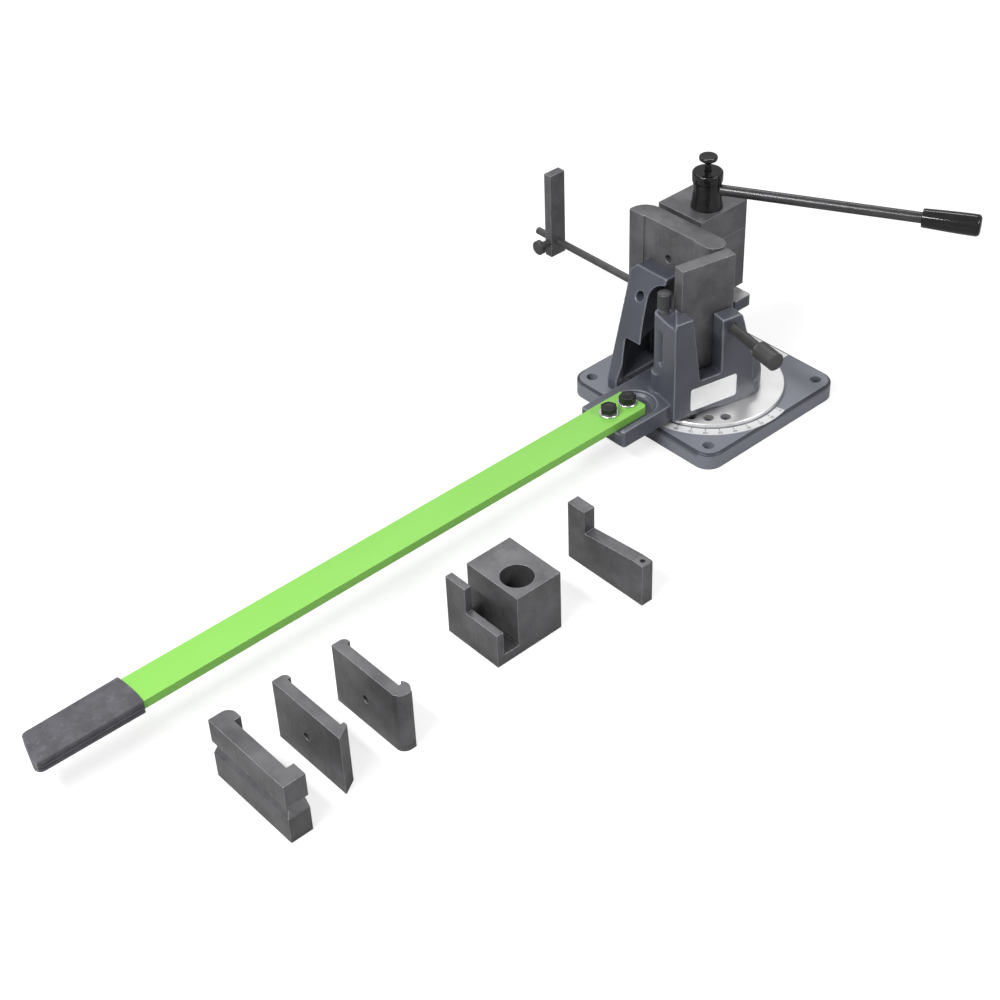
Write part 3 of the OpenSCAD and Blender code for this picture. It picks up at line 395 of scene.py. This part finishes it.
def gloss_black(name, rough):
    """Black moulded plastic or lacquer, glossy, with faint ripple and hairlines."""
    n = Shader(name)
    edge = n.rounded(0.6 * MM)
    ripple = n.noise(60.0, 2.0)
    hair = n.noise(2400.0, 2.0, (1, 1, 0.05))
    cloud = n.ramp(n.noise(30.0, 3.0), 0.3, 0.7, 0.0, 1.0)
    base = n.mix(cloud, (0.006, 0.006, 0.0065), (0.014, 0.0135, 0.014))
    n.set("Base Color", base)
    n.set("Roughness", n.ramp(hair, 0.35, 0.7, rough, rough + 0.06))
    n.set("Specular IOR Level", 0.4)
    n.set("Normal", n.bump(ripple, 0.06 * MM, 0.2, edge))
    return n.mat


def film(name, colour=(0.9, 0.905, 0.9)):
    """Satin film with a hint of grain and grime."""
    n = Shader(name)
    grime = n.noise(45.0, 5.0)
    base = n.mix(n.ramp(grime, 0.45, 0.75, 0.0, 0.5), colour, tuple(c * 0.88 for c in colour))
    n.set("Base Color", base)
    n.set("Roughness", n.ramp(grime, 0.3, 0.7, 0.35, 0.5))
    n.set("Normal", n.bump(n.noise(1200.0, 2.0), 0.03 * MM, 0.3, n.rounded(0.4 * MM)))
    return n.mat


def ink(name):
    """Printed black, a little worn."""
    n = Shader(name)
    wear = n.ramp(n.noise(900.0, 3.0), 0.5, 0.8, 0.0, 0.6)
    n.set("Base Color", n.mix(wear, (0.01, 0.01, 0.012), (0.06, 0.06, 0.06)))
    n.set("Roughness", 0.5)
    return n.mat


PAINT = cast_paint("anthracite_coat", (0.05, 0.053, 0.069))
PLATE_PAINT = cast_paint("anthracite_plate", (0.024, 0.026, 0.036), 0.16 * MM, shine=0.32, coat=0.05)
OXIDE_UP = black_oxide("black_oxide_upright", 2)
OXIDE_X = black_oxide("black_oxide_along_x", 0)
OXIDE_Y = black_oxide("black_oxide_along_y", 1)
OXIDE_LOOSE = black_oxide("black_oxide_loose", 2, (0.085, 0.083, 0.087))
DISC = machined("turned_disc", (0.8, 0.795, 0.795), (PIVOT.x, PIVOT.y))
BRIGHT = plain_steel("bright_steel", (0.62, 0.62, 0.63), 0.28, 0.9)
DARK_STEEL = plain_steel("dark_steel", (0.1, 0.1, 0.102), 0.4, 0.6)
BLACK_STEEL = plain_steel("black_steel", (0.022, 0.022, 0.023), 0.24, 0.5)
KNURL = plain_steel("knurled_steel", (0.075, 0.074, 0.074), 0.45, 0.5, 0.2 * MM)
PIN_KNURL = plain_steel("knurled_pin", (0.075, 0.075, 0.08), 0.45, 0.5, 0.2 * MM)
PIN_STEEL = plain_steel("ground_pin_steel", (0.2, 0.2, 0.205), 0.35, 0.6)
TABLE_STEEL = plain_steel("table_steel", (0.66, 0.66, 0.66), 0.4, 0.6)
BRONZE = plain_steel("bronze", (0.5, 0.32, 0.13), 0.35, 0.9)
GREEN = lever_paint("lever_green")
RUBBER = rubber("grip_rubber")
GLOSS = gloss_black("gloss_black", 0.07)
ROD_STEEL = plain_steel("rod_steel", (0.075, 0.075, 0.078), 0.27, 0.6)
WHITE = film("white_film")
SILVER = film("scale_film", (0.6, 0.605, 0.61))
INK = ink("scale_ink")

LOOK = {
    "base_plate": PLATE_PAINT, "bed_casting": PAINT, "swing_arm": PAINT, "index_disc": DISC,
    "disc_screws": BLACK_STEEL, "bed_screws": BLACK_STEEL, "die_screw": BLACK_STEEL,
    "cap_screws": BLACK_STEEL, "lever_bolts": BLACK_STEEL, "angle_scale": SILVER,
    "blank_strip": WHITE, "arm_label": WHITE, "pivot_bolt": DARK_STEEL, "pivot_nut": DARK_STEEL,
    "stop_rod": DARK_STEEL, "pivot_washer": BRIGHT, "guide_key": BRIGHT, "eccentric_shaft": BRIGHT,
    "jaw_guide_pins": BRIGHT, "lever_washers": BRIGHT, "pivot_bush": BRONZE, "die_plate": OXIDE_UP,
    "stop_bar": OXIDE_UP, "clamp_block": OXIDE_X, "clamp_block_cap": OXIDE_X,
    "eccentric_hub": GLOSS, "hub_knob": GLOSS, "handle_grip": GLOSS, "handle_rod": ROD_STEEL,
    "jaw_plate": OXIDE_Y, "adjusting_screw": KNURL, "adjusting_knob": KNURL,
    "stop_thumbscrew": KNURL, "index_pin": PIN_STEEL, "lever_bar": GREEN, "lever_grip": RUBBER,
    "loose_groove_die": OXIDE_LOOSE, "loose_wedge_die": OXIDE_LOOSE, "loose_round_die": OXIDE_LOOSE,
    "loose_ring_block": OXIDE_LOOSE, "loose_angle_bar": OXIDE_LOOSE,
}


# Helpers for objects and meshes


def dress(obj, mat):
    """Give an object one material."""
    obj.data.materials.clear()
    obj.data.materials.append(mat)


for name, obj in NODES.items():
    dress(obj, LOOK[name])


def new_object(name, mesh, body, mat, smooth=True):
    """A dressed object that rides on a body."""
    obj = bpy.data.objects.new(name, mesh)
    bpy.context.scene.collection.objects.link(obj)
    dress(obj, mat)
    for poly in mesh.polygons:
        poly.use_smooth = smooth
    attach(obj, body)
    return obj


def sharp_by_angle(obj, degrees):
    """Shade smooth only across edges flatter than the angle."""
    bm = bmesh.new()
    bm.from_mesh(obj.data)
    limit = math.radians(degrees)
    for edge in bm.edges:
        edge.smooth = len(edge.link_faces) == 2 and edge.calc_face_angle(0.0) < limit
    bm.to_mesh(obj.data)
    bm.free()


def cast_copy(name, node, body):
    """A copy of a cast node whose edges and corners are rounded like a casting's."""
    source = NODES[node]
    work = bpy.data.objects.new(name + "_work", source.data.copy())
    bpy.context.scene.collection.objects.link(work)
    weld = work.modifiers.new("weld", "WELD")
    weld.merge_threshold = WELD
    remesh = work.modifiers.new("voxels", "REMESH")
    remesh.mode = "VOXEL"
    remesh.voxel_size = VOXEL_FINE
    soften = work.modifiers.new("soften", "SMOOTH")
    soften.factor = 0.5
    soften.iterations = VOXEL_ROUNDS
    graph = bpy.context.evaluated_depsgraph_get()
    mesh = bpy.data.meshes.new_from_object(work.evaluated_get(graph))
    mesh.name = name
    bpy.data.objects.remove(work)
    obj = new_object(name, mesh, body, LOOK[node])
    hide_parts(node)


def polar(r, t, z=0.0):
    """Point at a radius and an angle round Z."""
    return Vector((r * math.cos(t), r * math.sin(t), z))


def ring(bm, r, z, steps, turn=0.0):
    """Vertices round Z at one radius and height."""
    return [bm.verts.new(polar(r, math.tau * i / steps + turn, z)) for i in range(steps)]


def skin(bm, rings):
    """Faces between neighbouring rings. A ring of one vertex closes an end."""
    for a, b in zip(rings, rings[1:]):
        n = max(len(a), len(b))
        if n == 1:
            continue
        for i in range(n):
            j = (i + 1) % n
            if len(a) == 1:
                bm.faces.new((a[0], b[j], b[i]))
            elif len(b) == 1:
                bm.faces.new((a[i], a[j], b[0]))
            else:
                bm.faces.new((a[i], a[j], b[j], b[i]))


def finish_bm(bm, place, name):
    """Turn a bmesh into a placed mesh, and free it."""
    bmesh.ops.recalc_face_normals(bm, faces=bm.faces)
    bmesh.ops.transform(bm, matrix=place, verts=bm.verts)
    mesh = bpy.data.meshes.new(name)
    bm.to_mesh(mesh)
    bm.free()
    return mesh


def lathe(profile, steps, place):
    """Mesh turned round Z from (radius, height) points, then placed."""
    bm = bmesh.new()
    rings = [ring(bm, r, z, steps) if r > 0 else [bm.verts.new((0, 0, z))] for r, z in profile]
    skin(bm, rings)
    return finish_bm(bm, place, "lathe")


def corner(cx, cz, r, start, end, steps):
    """Points of a rounded corner, angles in degrees."""
    points = []
    for i in range(steps + 1):
        p = polar(r, math.radians(start + (end - start) * i / steps))
        points.append((cx + p.x, cz + p.y))
    return points


def axis_place(origin, direction):
    """Matrix that puts local Z along a direction."""
    m = Vector(direction).to_track_quat("Z", "Y").to_matrix().to_4x4()
    m.translation = Vector(origin)
    return m


def knurled(r, z0, z1, edge, pitch, depth):
    """Bmesh of a bar along Z with a diamond knurl between two chamfers."""
    steps = int(round(math.tau * r / pitch)) * KNURL_STEPS
    length = z1 - z0 - 2 * edge
    rows = max(8, int(round(length / (pitch / KNURL_STEPS))))
    bm = bmesh.new()
    rings = [[bm.verts.new((0, 0, z0))], ring(bm, r - edge, z0, steps)]
    for k in range(rows + 1):
        z = z0 + edge + length * k / rows
        fade = min(1.0, k / 2.0, (rows - k) / 2.0)
        verts = []
        for i in range(steps):
            u = i / KNURL_STEPS
            v = (z - z0) / pitch
            a = abs(((u + v) % 1.0) - 0.5) * 2
            b = abs(((u - v) % 1.0) - 0.5) * 2
            d = r - depth * (1 - min(a, b)) * fade
            verts.append(bm.verts.new(polar(d, math.tau * i / steps, z)))
        rings.append(verts)
    rings.append(ring(bm, r - edge, z1, steps))
    rings.append([bm.verts.new((0, 0, z1))])
    skin(bm, rings)
    return bm


def join(meshes, name):
    """One mesh from several."""
    bm = bmesh.new()
    for m in meshes:
        bm.from_mesh(m)
    mesh = bpy.data.meshes.new(name)
    bm.to_mesh(mesh)
    bm.free()
    return mesh


cast_copy("arm_casting", "swing_arm", "arm")
cast_copy("bed_casting_soft", "bed_casting", "base")


def grip_outline(half_x, half_z):
    """Section of the grip: round corners, and two lengthwise grooves in each side."""
    groove = 1.1 * MM
    r = 2.2 * MM
    run = 4 * MM
    side = ((-0.62, 0), (-0.5, 0), (-0.42, groove), (-0.3, groove), (-0.22, 0), (0.06, 0),
            (0.14, groove), (0.26, groove), (0.34, 0), (0.62, 0))
    flat = [(half_x - cut, share * half_z) for share, cut in side if abs(share * half_z) < half_z - r]
    below = corner(half_x - r, -half_z + r, r, -90, 0, 4)
    above = corner(half_x - r, half_z - r, r, 0, 90, 4)
    half = below + flat + above
    outline = half + [(-x, z) for x, z in reversed(half)]
    dense = []
    for i, a in enumerate(outline):
        b = outline[(i + 1) % len(outline)]
        dx, dz = b[0] - a[0], b[1] - a[1]
        parts = max(1, int(math.hypot(dx, dz) / run))
        dense += [(a[0] + dx * k / parts, a[1] + dz * k / parts) for k in range(parts)]
    return dense


def grip_mouth(bm, rim, outline, centre, bar):
    """Two rings of the grip's mouth, drawn in to the bar's section."""
    play = 0.1 * MM
    deep = 12 * MM
    x0, x1 = bar[0].x - play, bar[1].x + play
    z0, z1 = bar[0].z - play, bar[1].z + play
    rings = [rim]
    for depth in (0.0, deep):
        row = []
        for (x, z), vert in zip(outline, rim):
            px = min(max(centre[0] + x, x0), x1)
            pz = min(max(centre[1] + z, z0), z1)
            dx = min(px - x0, x1 - px)
            dz = min(pz - z0, z1 - pz)
            if dx > 0 and dz > 0:
                if dx < dz:
                    px = x0 if px - x0 < x1 - px else x1
                else:
                    pz = z0 if pz - z0 < z1 - pz else z1
            row.append(bm.verts.new((px, vert.co.y - depth, pz)))
        rings.append(row)
    for a, b in zip(rings, rings[1:]):
        for i in range(len(a)):
            j = (i + 1) % len(a)
            bm.faces.new((a[j], a[i], b[i], b[j]))


def make_grip():
    """Rubber grip on the lever: slanted end, bowed and hollow mouth for the bar."""
    low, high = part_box("lever_grip")
    half_x, half_z = (high.x - low.x) / 2, (high.z - low.z) / 2
    mid_x, mid_z = (high.x + low.x) / 2, (high.z + low.z) / 2
    slant = 11 * MM
    lip = 1.6 * MM
    rows = 46
    bend = 0.7
    rounding = 0.94
    end_shrink = 0.1
    side_taper = 0.05
    top_taper = 0.1
    outline = grip_outline(half_x, half_z)
    bm = bmesh.new()
    rings = []
    for k in range(rows + 1):
        t = k / rows
        past = max(0.0, (t - rounding) / (1 - rounding))
        shrink = 1.0 - end_shrink * (1 - math.sqrt(max(0.0, 1 - past * past)))
        narrow = (1.0 - side_taper * t) * shrink
        verts = []
        for x, z in outline:
            u = x / half_x
            front = high.y - lip * u * u
            if u < bend:
                back = low.y + slant * (1 - u) / 2
            else:
                back = low.y + slant * (1 - bend) / 2 * (1 + (u - bend) / (1 - bend))
            top = 1.0 - top_taper * t if z > 0 else 1.0
            verts.append(bm.verts.new((mid_x + x * narrow, front + (back - front) * t,
                                       mid_z + z * top * shrink)))
        rings.append(verts)
    skin(bm, rings)
    bm.faces.new(rings[-1])
    grip_mouth(bm, rings[0], outline, (mid_x, mid_z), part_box("lever_bar"))
    mesh = finish_bm(bm, Matrix.Identity(4), "grip")
    obj = new_object("rubber_grip", mesh, "arm", RUBBER)
    sharp_by_angle(obj, 50)
    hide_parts("lever_grip")


make_grip()


def turned(name, profile, place, body, node, steps=TURN_STEPS):
    """A glossy black turned piece in a CAD node's place."""
    obj = new_object(name, lathe(profile, steps, place), body, GLOSS)
    sharp_by_angle(obj, 40)
    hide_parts(node)


def make_hub():
    """Hub of the eccentric: flared foot, straight waist and a rounded collar with a bore."""
    low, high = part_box("eccentric_hub")
    r = (high.x - low.x) / 2
    h = high.z - low.z
    waist, collar = r * 0.888, r * 0.96
    collar_h = 13.5 * MM
    fillet = 1.8 * MM
    edge = 2.2 * MM
    bore_r, bore_h = 4.2 * MM, 4 * MM
    flare_z, flare_rows = 2 * MM, 12
    pts = [(0, 0), (r - 0.8 * MM, 0), (r, 0.8 * MM), (r, flare_z)]
    for k in range(1, flare_rows + 1):
        t = k / flare_rows
        pts.append((r * (0.9 + 0.1 * (1 - t) ** 2.2), flare_z + 0.34 * h * t))
    pts += [(waist, 0.55 * h), (waist, h - collar_h)]
    pts += corner(waist + fillet, h - collar_h + 0.4 * MM, fillet, 180, 110, 4)
    pts += corner(collar - MM, h - 10.5 * MM, MM, -60, 0, 4)
    pts += corner(collar - edge, h - edge, edge, 0, 80, 5)
    pts += [(collar - 4 * MM, h), (bore_r + 0.6 * MM, h), (bore_r, h - 0.6 * MM)]
    pts += [(bore_r, h - bore_h), (0, h - bore_h)]
    place = Matrix.Translation(((low.x + high.x) / 2, (low.y + high.y) / 2, low.z))
    turned("hub_turned", pts, place, "eccentric", "eccentric_hub", HUB_STEPS)


def make_button():
    """Spring button on the hub: a mushroom head on a thin stem."""
    hub_low, hub_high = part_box("eccentric_hub")
    low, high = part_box("hub_knob")
    r = (high.x - low.x) / 2
    stem = 3.6 * MM
    under = high.z - 9.5 * MM
    pts = [(0, low.z), (stem, low.z), (stem, under), (stem + 0.6 * MM, under + 0.6 * MM),
           (r - 2 * MM, high.z - 5.6 * MM), (r - 0.6 * MM, high.z - 5 * MM)]
    pts += corner(r - 1.2 * MM, high.z - 3.6 * MM, 1.2 * MM, -45, 0, 4)
    pts += corner(r - 1.6 * MM, high.z - 1.8 * MM, 1.6 * MM, 0, 75, 5)
    pts += [(r - 3 * MM, high.z - 0.2 * MM), (3 * MM, high.z - 0.6 * MM), (0, high.z - 0.6 * MM)]
    place = Matrix.Translation(((hub_low.x + hub_high.x) / 2, (hub_low.y + hub_high.y) / 2, 0))
    turned("button_turned", pts, place, "knob", "hub_knob")


def make_handle_grip():
    """Barrel grip at the end of the clamping handle."""
    hub_low, hub_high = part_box("eccentric_hub")
    rod_low, rod_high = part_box("handle_rod")
    start = Vector((hub_low.x + hub_high.x, hub_low.y + hub_high.y, rod_low.z + rod_high.z)) / 2
    way = polar(1, HANDLE_TURN)
    neck, swell = 10.6 * MM, 1.55 * MM
    edge = 4.5 * MM
    rows = 8
    pts = [(0, 0), (9.8 * MM, 0), (10.4 * MM, 0.6 * MM), (neck, 3 * MM)]
    for k in range(rows + 1):
        t = k / rows
        pts.append((neck + swell * math.sin(t * math.pi / 2), 3 * MM + t * (HANDLE_GRIP - 7.5 * MM)))
    pts += corner(neck + swell - edge, HANDLE_GRIP - edge, edge, 0, 80, 7)
    pts += [(4 * MM, HANDLE_GRIP - 0.1 * MM), (0, HANDLE_GRIP)]
    place = axis_place(start + way * (HANDLE_REACH - HANDLE_GRIP), way)
    turned("handle_grip_turned", pts, place, "eccentric", "handle_grip")


make_hub()
make_button()
make_handle_grip()


def make_adjusting_knob():
    """Knurled knob, its axis turned with the swing arm."""
    low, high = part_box("adjusting_knob")
    radius = (high.z - low.z) / 2
    lean_x, lean_y = radius * abs(math.sin(ARM_TURN)), radius * math.cos(ARM_TURN)
    start = Vector((low.x + lean_x, high.y - lean_y, (low.z + high.z) / 2))
    end = Vector((high.x - lean_x, low.y + lean_y, start.z))
    bm = knurled(radius, 0.0, (end - start).length, KNOB_CHAMFER, *KNURL_COARSE)
    mesh = finish_bm(bm, axis_place(start, (end - start).normalized()), "knob")
    obj = new_object("adjusting_knob_knurled", mesh, "screw", KNURL)
    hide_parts("adjusting_knob")
    sharp_by_angle(obj, 60)


def make_index_pin():
    """Ground pin with a knurled head."""
    low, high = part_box("index_pin")
    place = Matrix.Translation(((low.x + high.x) / 2, (low.y + high.y) / 2, 0))
    head_z = high.z - PIN_HEAD
    head = knurled((high.x - low.x) / 2, head_z, high.z, KNOB_CHAMFER, *KNURL_FINE)
    mesh = finish_bm(head, place, "head")
    obj = new_object("index_pin_knurled", mesh, "pin", PIN_KNURL)
    sharp_by_angle(obj, 60)
    pts = [(0, low.z), (PIN_TIP_R, low.z), (PIN_R, low.z + PIN_TIP), (PIN_R, head_z), (0, head_z)]
    shank = lathe(pts, PIN_STEPS, place)
    sharp_by_angle(new_object("index_pin_shank", shank, "pin", PIN_STEEL), 40)
    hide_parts("index_pin")


def make_thumbscrew():
    """Thumbscrew of the length stop: knurled head, neck and shank."""
    low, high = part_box("stop_thumbscrew")
    place = axis_place(((low.x + high.x) / 2, high.y, (low.z + high.z) / 2), (0, -1, 0))
    depth = high.y - low.y
    head_z = depth - THUMB_HEAD
    neck_z = head_z - THUMB_NECK
    head = knurled((high.x - low.x) / 2, head_z, depth, KNOB_CHAMFER, *KNURL_FINE)
    shank = lathe([(0, 0), (THUMB_SHANK_R, 0), (THUMB_SHANK_R, neck_z), (THUMB_NECK_R, neck_z),
                   (THUMB_NECK_R, head_z), (0, head_z)], THIN_STEPS, place)
    mesh = join([finish_bm(head, place, "head"), shank], "thumb")
    obj = new_object("thumbscrew_knurled", mesh, "thumb", KNURL)
    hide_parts("stop_thumbscrew")
    sharp_by_angle(obj, 60)


make_adjusting_knob()
make_index_pin()
make_thumbscrew()


def make_thread():
    """The adjusting screw on its CAD node's outline, with ring grooves for its thread."""
    low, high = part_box("adjusting_screw")
    full = (high.z - low.z) / 2
    axis = polar(1, ARM_TURN)
    verts = [v.co for v in NODES["adjusting_screw"].data.vertices]
    centre = sum(verts, Vector()) / len(verts)
    rows = {}
    for co in verts:
        along = (co - centre).dot(axis)
        rows.setdefault(round(along, 4), set()).add(round((co - centre - axis * along).length, 4))
    outline = []
    last = 0.0
    for along in sorted(rows):
        radii = sorted(rows[along], key=lambda radius: abs(radius - last))
        outline += [(radius, along) for radius in radii]
        last = radii[-1]
    profile = [(0, outline[0][1])]
    for a, b in zip(outline, outline[1:]):
        profile.append(a)
        if min(a[0], b[0]) > full * THREAD_FULL and b[1] - a[1] > THREAD_LEAST:
            for k in range(1, int((b[1] - a[1]) / THREAD_PITCH)):
                z = a[1] + k * THREAD_PITCH
                root = full - THREAD_DEPTH
                profile += [(full, z - THREAD_FLANK), (root, z), (full, z + THREAD_FLANK)]
    profile += [outline[-1], (0, outline[-1][1])]
    mesh = lathe(profile, THIN_STEPS, axis_place(centre, axis))
    obj = new_object("adjusting_screw_threaded", mesh, "screw", KNURL)
    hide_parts("adjusting_screw")
    sharp_by_angle(obj, 30)


make_thread()


def make_table_top():
    """Machined skin on the casting's table, cut from the widest level of its CAD node."""
    bm = bmesh.new()
    bm.from_mesh(NODES["bed_casting"].data)
    levels = {}
    for face in bm.faces:
        if face.normal.z > LEVEL_UP:
            level = round(face.calc_center_median().z, 4)
            levels[level] = levels.get(level, 0.0) + face.calc_area()
    table_z = max(levels, key=levels.get)
    rest = [f for f in bm.faces
            if f.normal.z < LEVEL_UP or abs(f.calc_center_median().z - table_z) > LEVEL_TOL]
    bmesh.ops.delete(bm, geom=rest, context="FACES")
    bmesh.ops.solidify(bm, geom=bm.faces[:], thickness=TABLE_SKIN)
    bmesh.ops.recalc_face_normals(bm, faces=bm.faces)
    lift = table_z + TABLE_PROUD - max(v.co.z for v in bm.verts)
    bmesh.ops.translate(bm, vec=(0, 0, lift), verts=bm.verts)
    mesh = bpy.data.meshes.new("table_top")
    bm.to_mesh(mesh)
    bm.free()
    new_object("table_top_machined", mesh, "base", TABLE_STEEL, False)


make_table_top()


def hex_bolt(centre, z_seat, z_top, z_end, turn):
    """Hexagon bolt, its head chamfered round and slightly dished."""
    steps = TURN_STEPS
    face = BOLT_AF / 2 * BOLT_FACE
    bm = bmesh.new()
    rings = [[bm.verts.new((0, 0, z_end))]]
    rings += [ring(bm, BOLT_R, z, steps) for z in (z_end, z_seat)]
    for z, fall in ((z_seat, 0.0), (z_top, BOLT_FALL)):
        row = []
        for i in range(steps):
            t = math.tau * i / steps
            off_flat = (t + math.pi / 6) % (math.pi / 3) - math.pi / 6
            r = BOLT_AF / 2 / math.cos(off_flat)
            row.append(bm.verts.new(polar(r, t + turn, z - (r - face) * fall)))
        rings.append(row)
    rings.append(ring(bm, face, z_top, steps, turn))
    rings.append(ring(bm, face * BOLT_RIM, z_top, steps))
    rings.append([bm.verts.new((0, 0, z_top - BOLT_DISH))])
    skin(bm, rings)
    return finish_bm(bm, Matrix.Translation(centre), "bolt")


def make_bolts():
    """The lever's two hexagon bolts and their turned washers."""
    low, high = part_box("lever_bolts")
    wlow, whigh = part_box("lever_washers")
    rim = (whigh.x - wlow.x) / 2
    bore = BOLT_R + WASHER_PLAY
    x = (wlow.x + whigh.x) / 2
    ys = (whigh.y - rim, wlow.y + rim)
    meshes = [hex_bolt((x, y, 0), whigh.z, high.z, low.z, turn) for y, turn in zip(ys, BOLT_TURNS)]
    mesh = join(meshes, "bolts")
    obj = new_object("lever_hex_bolts", mesh, "arm", BLACK_STEEL, False)
    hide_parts("lever_bolts")
    pts = [(bore, wlow.z), (rim - 0.4 * MM, wlow.z), (rim, wlow.z + 0.3 * MM)]
    pts += [(rim, whigh.z - 0.6 * MM), (rim - 0.5 * MM, whigh.z), (bore, whigh.z), (bore, wlow.z)]
    rims = [lathe(pts, TURN_STEPS, Matrix.Translation((x, y, 0))) for y in ys]
    mesh = join(rims, "washers")
    obj = new_object("lever_washers_turned", mesh, "arm", BRIGHT)
    sharp_by_angle(obj, 30)
    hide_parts("lever_washers")


make_bolts()


def scale_angle(mark):
    """Angle of a mark round the pivot, in radians."""
    return math.radians(SCALE_ZERO - mark)


def make_ticks(z):
    """Thin printed bars, one for each mark."""
    bm = bmesh.new()
    for mark in SCALE_MARKS:
        out = polar(1, scale_angle(mark))
        side = Vector((-out.y, out.x, 0)) * (TICK_W / 2)
        near = PIVOT + out * (SCALE_INNER + TICK_IN)
        far = PIVOT + out * (SCALE_INNER + TICK_OUT)
        pts = (near - side, far - side, far + side, near + side)
        base = [bm.verts.new((p.x, p.y, z - INK_THICK)) for p in pts]
        top = [bm.verts.new((p.x, p.y, z)) for p in pts]
        bm.faces.new(top)
        for i in range(4):
            j = (i + 1) % 4
            bm.faces.new((base[i], base[j], top[j], top[i]))
    mesh = finish_bm(bm, Matrix.Identity(4), "ticks")
    new_object("scale_ticks", mesh, "base", INK, False)


def make_number(mark, z):
    """Plain number at a mark, read from outside the disc."""
    curve = bpy.data.curves.new("number_%d" % mark, "FONT")
    curve.body = str(mark)
    curve.size = NUMBER_H
    curve.align_x = "CENTER"
    curve.align_y = "CENTER"
    curve.extrude = NUMBER_THICK
    work = bpy.data.objects.new("number_work", curve)
    bpy.context.scene.collection.objects.link(work)
    graph = bpy.context.evaluated_depsgraph_get()
    mesh = bpy.data.meshes.new_from_object(work.evaluated_get(graph))
    bpy.data.objects.remove(work)
    t = scale_angle(mark)
    spot = PIVOT + polar(SCALE_OUTER - NUMBER_IN, t, z)
    mesh.transform(Matrix.Translation(spot) @ Matrix.Rotation(t + math.pi / 2, 4, "Z"))
    new_object("scale_number_%d" % mark, mesh, "base", INK, False)


def make_scale():
    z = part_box("angle_scale")[1].z + INK_TOP
    make_ticks(z)
    for mark in SCALE_MARKS:
        make_number(mark, z)


make_scale()


def backdrop_material(name):
    """White to the camera, and still darkened by the object's shadow."""
    mat = bpy.data.materials.new(name)
    mat.use_nodes = True
    tree = mat.node_tree
    tree.nodes.clear()
    out = tree.nodes.new("ShaderNodeOutputMaterial")
    diffuse = tree.nodes.new("ShaderNodeBsdfDiffuse")
    diffuse.inputs["Color"].default_value = FLOOR_SEEN
    glow = tree.nodes.new("ShaderNodeEmission")
    place = tree.nodes.new("ShaderNodeNewGeometry")
    away = tree.nodes.new("ShaderNodeVectorMath")
    away.operation = "LENGTH"
    tree.links.new(place.outputs["Position"], away.inputs[0])
    level = tree.nodes.new("ShaderNodeMapRange")
    level.interpolation_type = "SMOOTHSTEP"
    level.inputs["From Min"].default_value = FLOOR_NEAR
    level.inputs["From Max"].default_value = FLOOR_FAR
    level.inputs["To Min"].default_value = FLOOR_GLOW_NEAR
    level.inputs["To Max"].default_value = FLOOR_GLOW_FAR
    tree.links.new(away.outputs["Value"], level.inputs["Value"])
    tree.links.new(level.outputs["Result"], glow.inputs["Strength"])
    both = tree.nodes.new("ShaderNodeAddShader")
    tree.links.new(diffuse.outputs[0], both.inputs[0])
    tree.links.new(glow.outputs[0], both.inputs[1])
    plain = tree.nodes.new("ShaderNodeBsdfDiffuse")
    plain.inputs["Color"].default_value = FLOOR_BOUNCE
    rays = tree.nodes.new("ShaderNodeLightPath")
    mix = tree.nodes.new("ShaderNodeMixShader")
    tree.links.new(rays.outputs["Is Camera Ray"], mix.inputs[0])
    tree.links.new(plain.outputs[0], mix.inputs[1])
    tree.links.new(both.outputs[0], mix.inputs[2])
    tree.links.new(mix.outputs[0], out.inputs["Surface"])
    return mat


def make_floor():
    """Wide white floor under the object."""
    bm = bmesh.new()
    bmesh.ops.create_grid(bm, x_segments=1, y_segments=1, size=FLOOR_HALF)
    mesh = bpy.data.meshes.new("floor")
    bm.to_mesh(mesh)
    bm.free()
    floor = bpy.data.objects.new("floor", mesh)
    floor.location = (0, 0, -FLOOR_DROP)
    bpy.context.scene.collection.objects.link(floor)
    dress(floor, backdrop_material("floor_white"))


def make_world():
    """White to the camera, and a dimmer light from everywhere on the object."""
    world = bpy.data.worlds.new("world")
    world.use_nodes = True
    tree = world.node_tree
    back = tree.nodes["Background"]
    back.inputs["Color"].default_value = (1, 1, 1, 1)
    rays = tree.nodes.new("ShaderNodeLightPath")
    mirrored = tree.nodes.new("ShaderNodeMapRange")
    mirrored.inputs["To Min"].default_value = AMBIENT
    mirrored.inputs["To Max"].default_value = AMBIENT_MIRRORED
    tree.links.new(rays.outputs["Is Glossy Ray"], mirrored.inputs["Value"])
    power = tree.nodes.new("ShaderNodeMath")
    power.operation = "MAXIMUM"
    tree.links.new(mirrored.outputs["Result"], power.inputs[0])
    tree.links.new(rays.outputs["Is Camera Ray"], power.inputs[1])
    tree.links.new(power.outputs[0], back.inputs["Strength"])
    bpy.context.scene.world = world


def make_lamps():
    """Three area lamps, all aimed at one point."""
    for name, spot, size, watts in LAMPS:
        data = bpy.data.lights.new(name, "AREA")
        data.shape = "RECTANGLE"
        data.size, data.size_y = size
        data.energy = watts
        lamp = bpy.data.objects.new(name, data)
        lamp.location = spot
        lamp.rotation_euler = (LAMP_AIM - Vector(spot)).to_track_quat("-Z", "Y").to_euler()
        bpy.context.scene.collection.objects.link(lamp)


make_floor()
make_world()
make_lamps()
make_camera()
bpy.context.scene.view_settings.view_transform = "Standard"
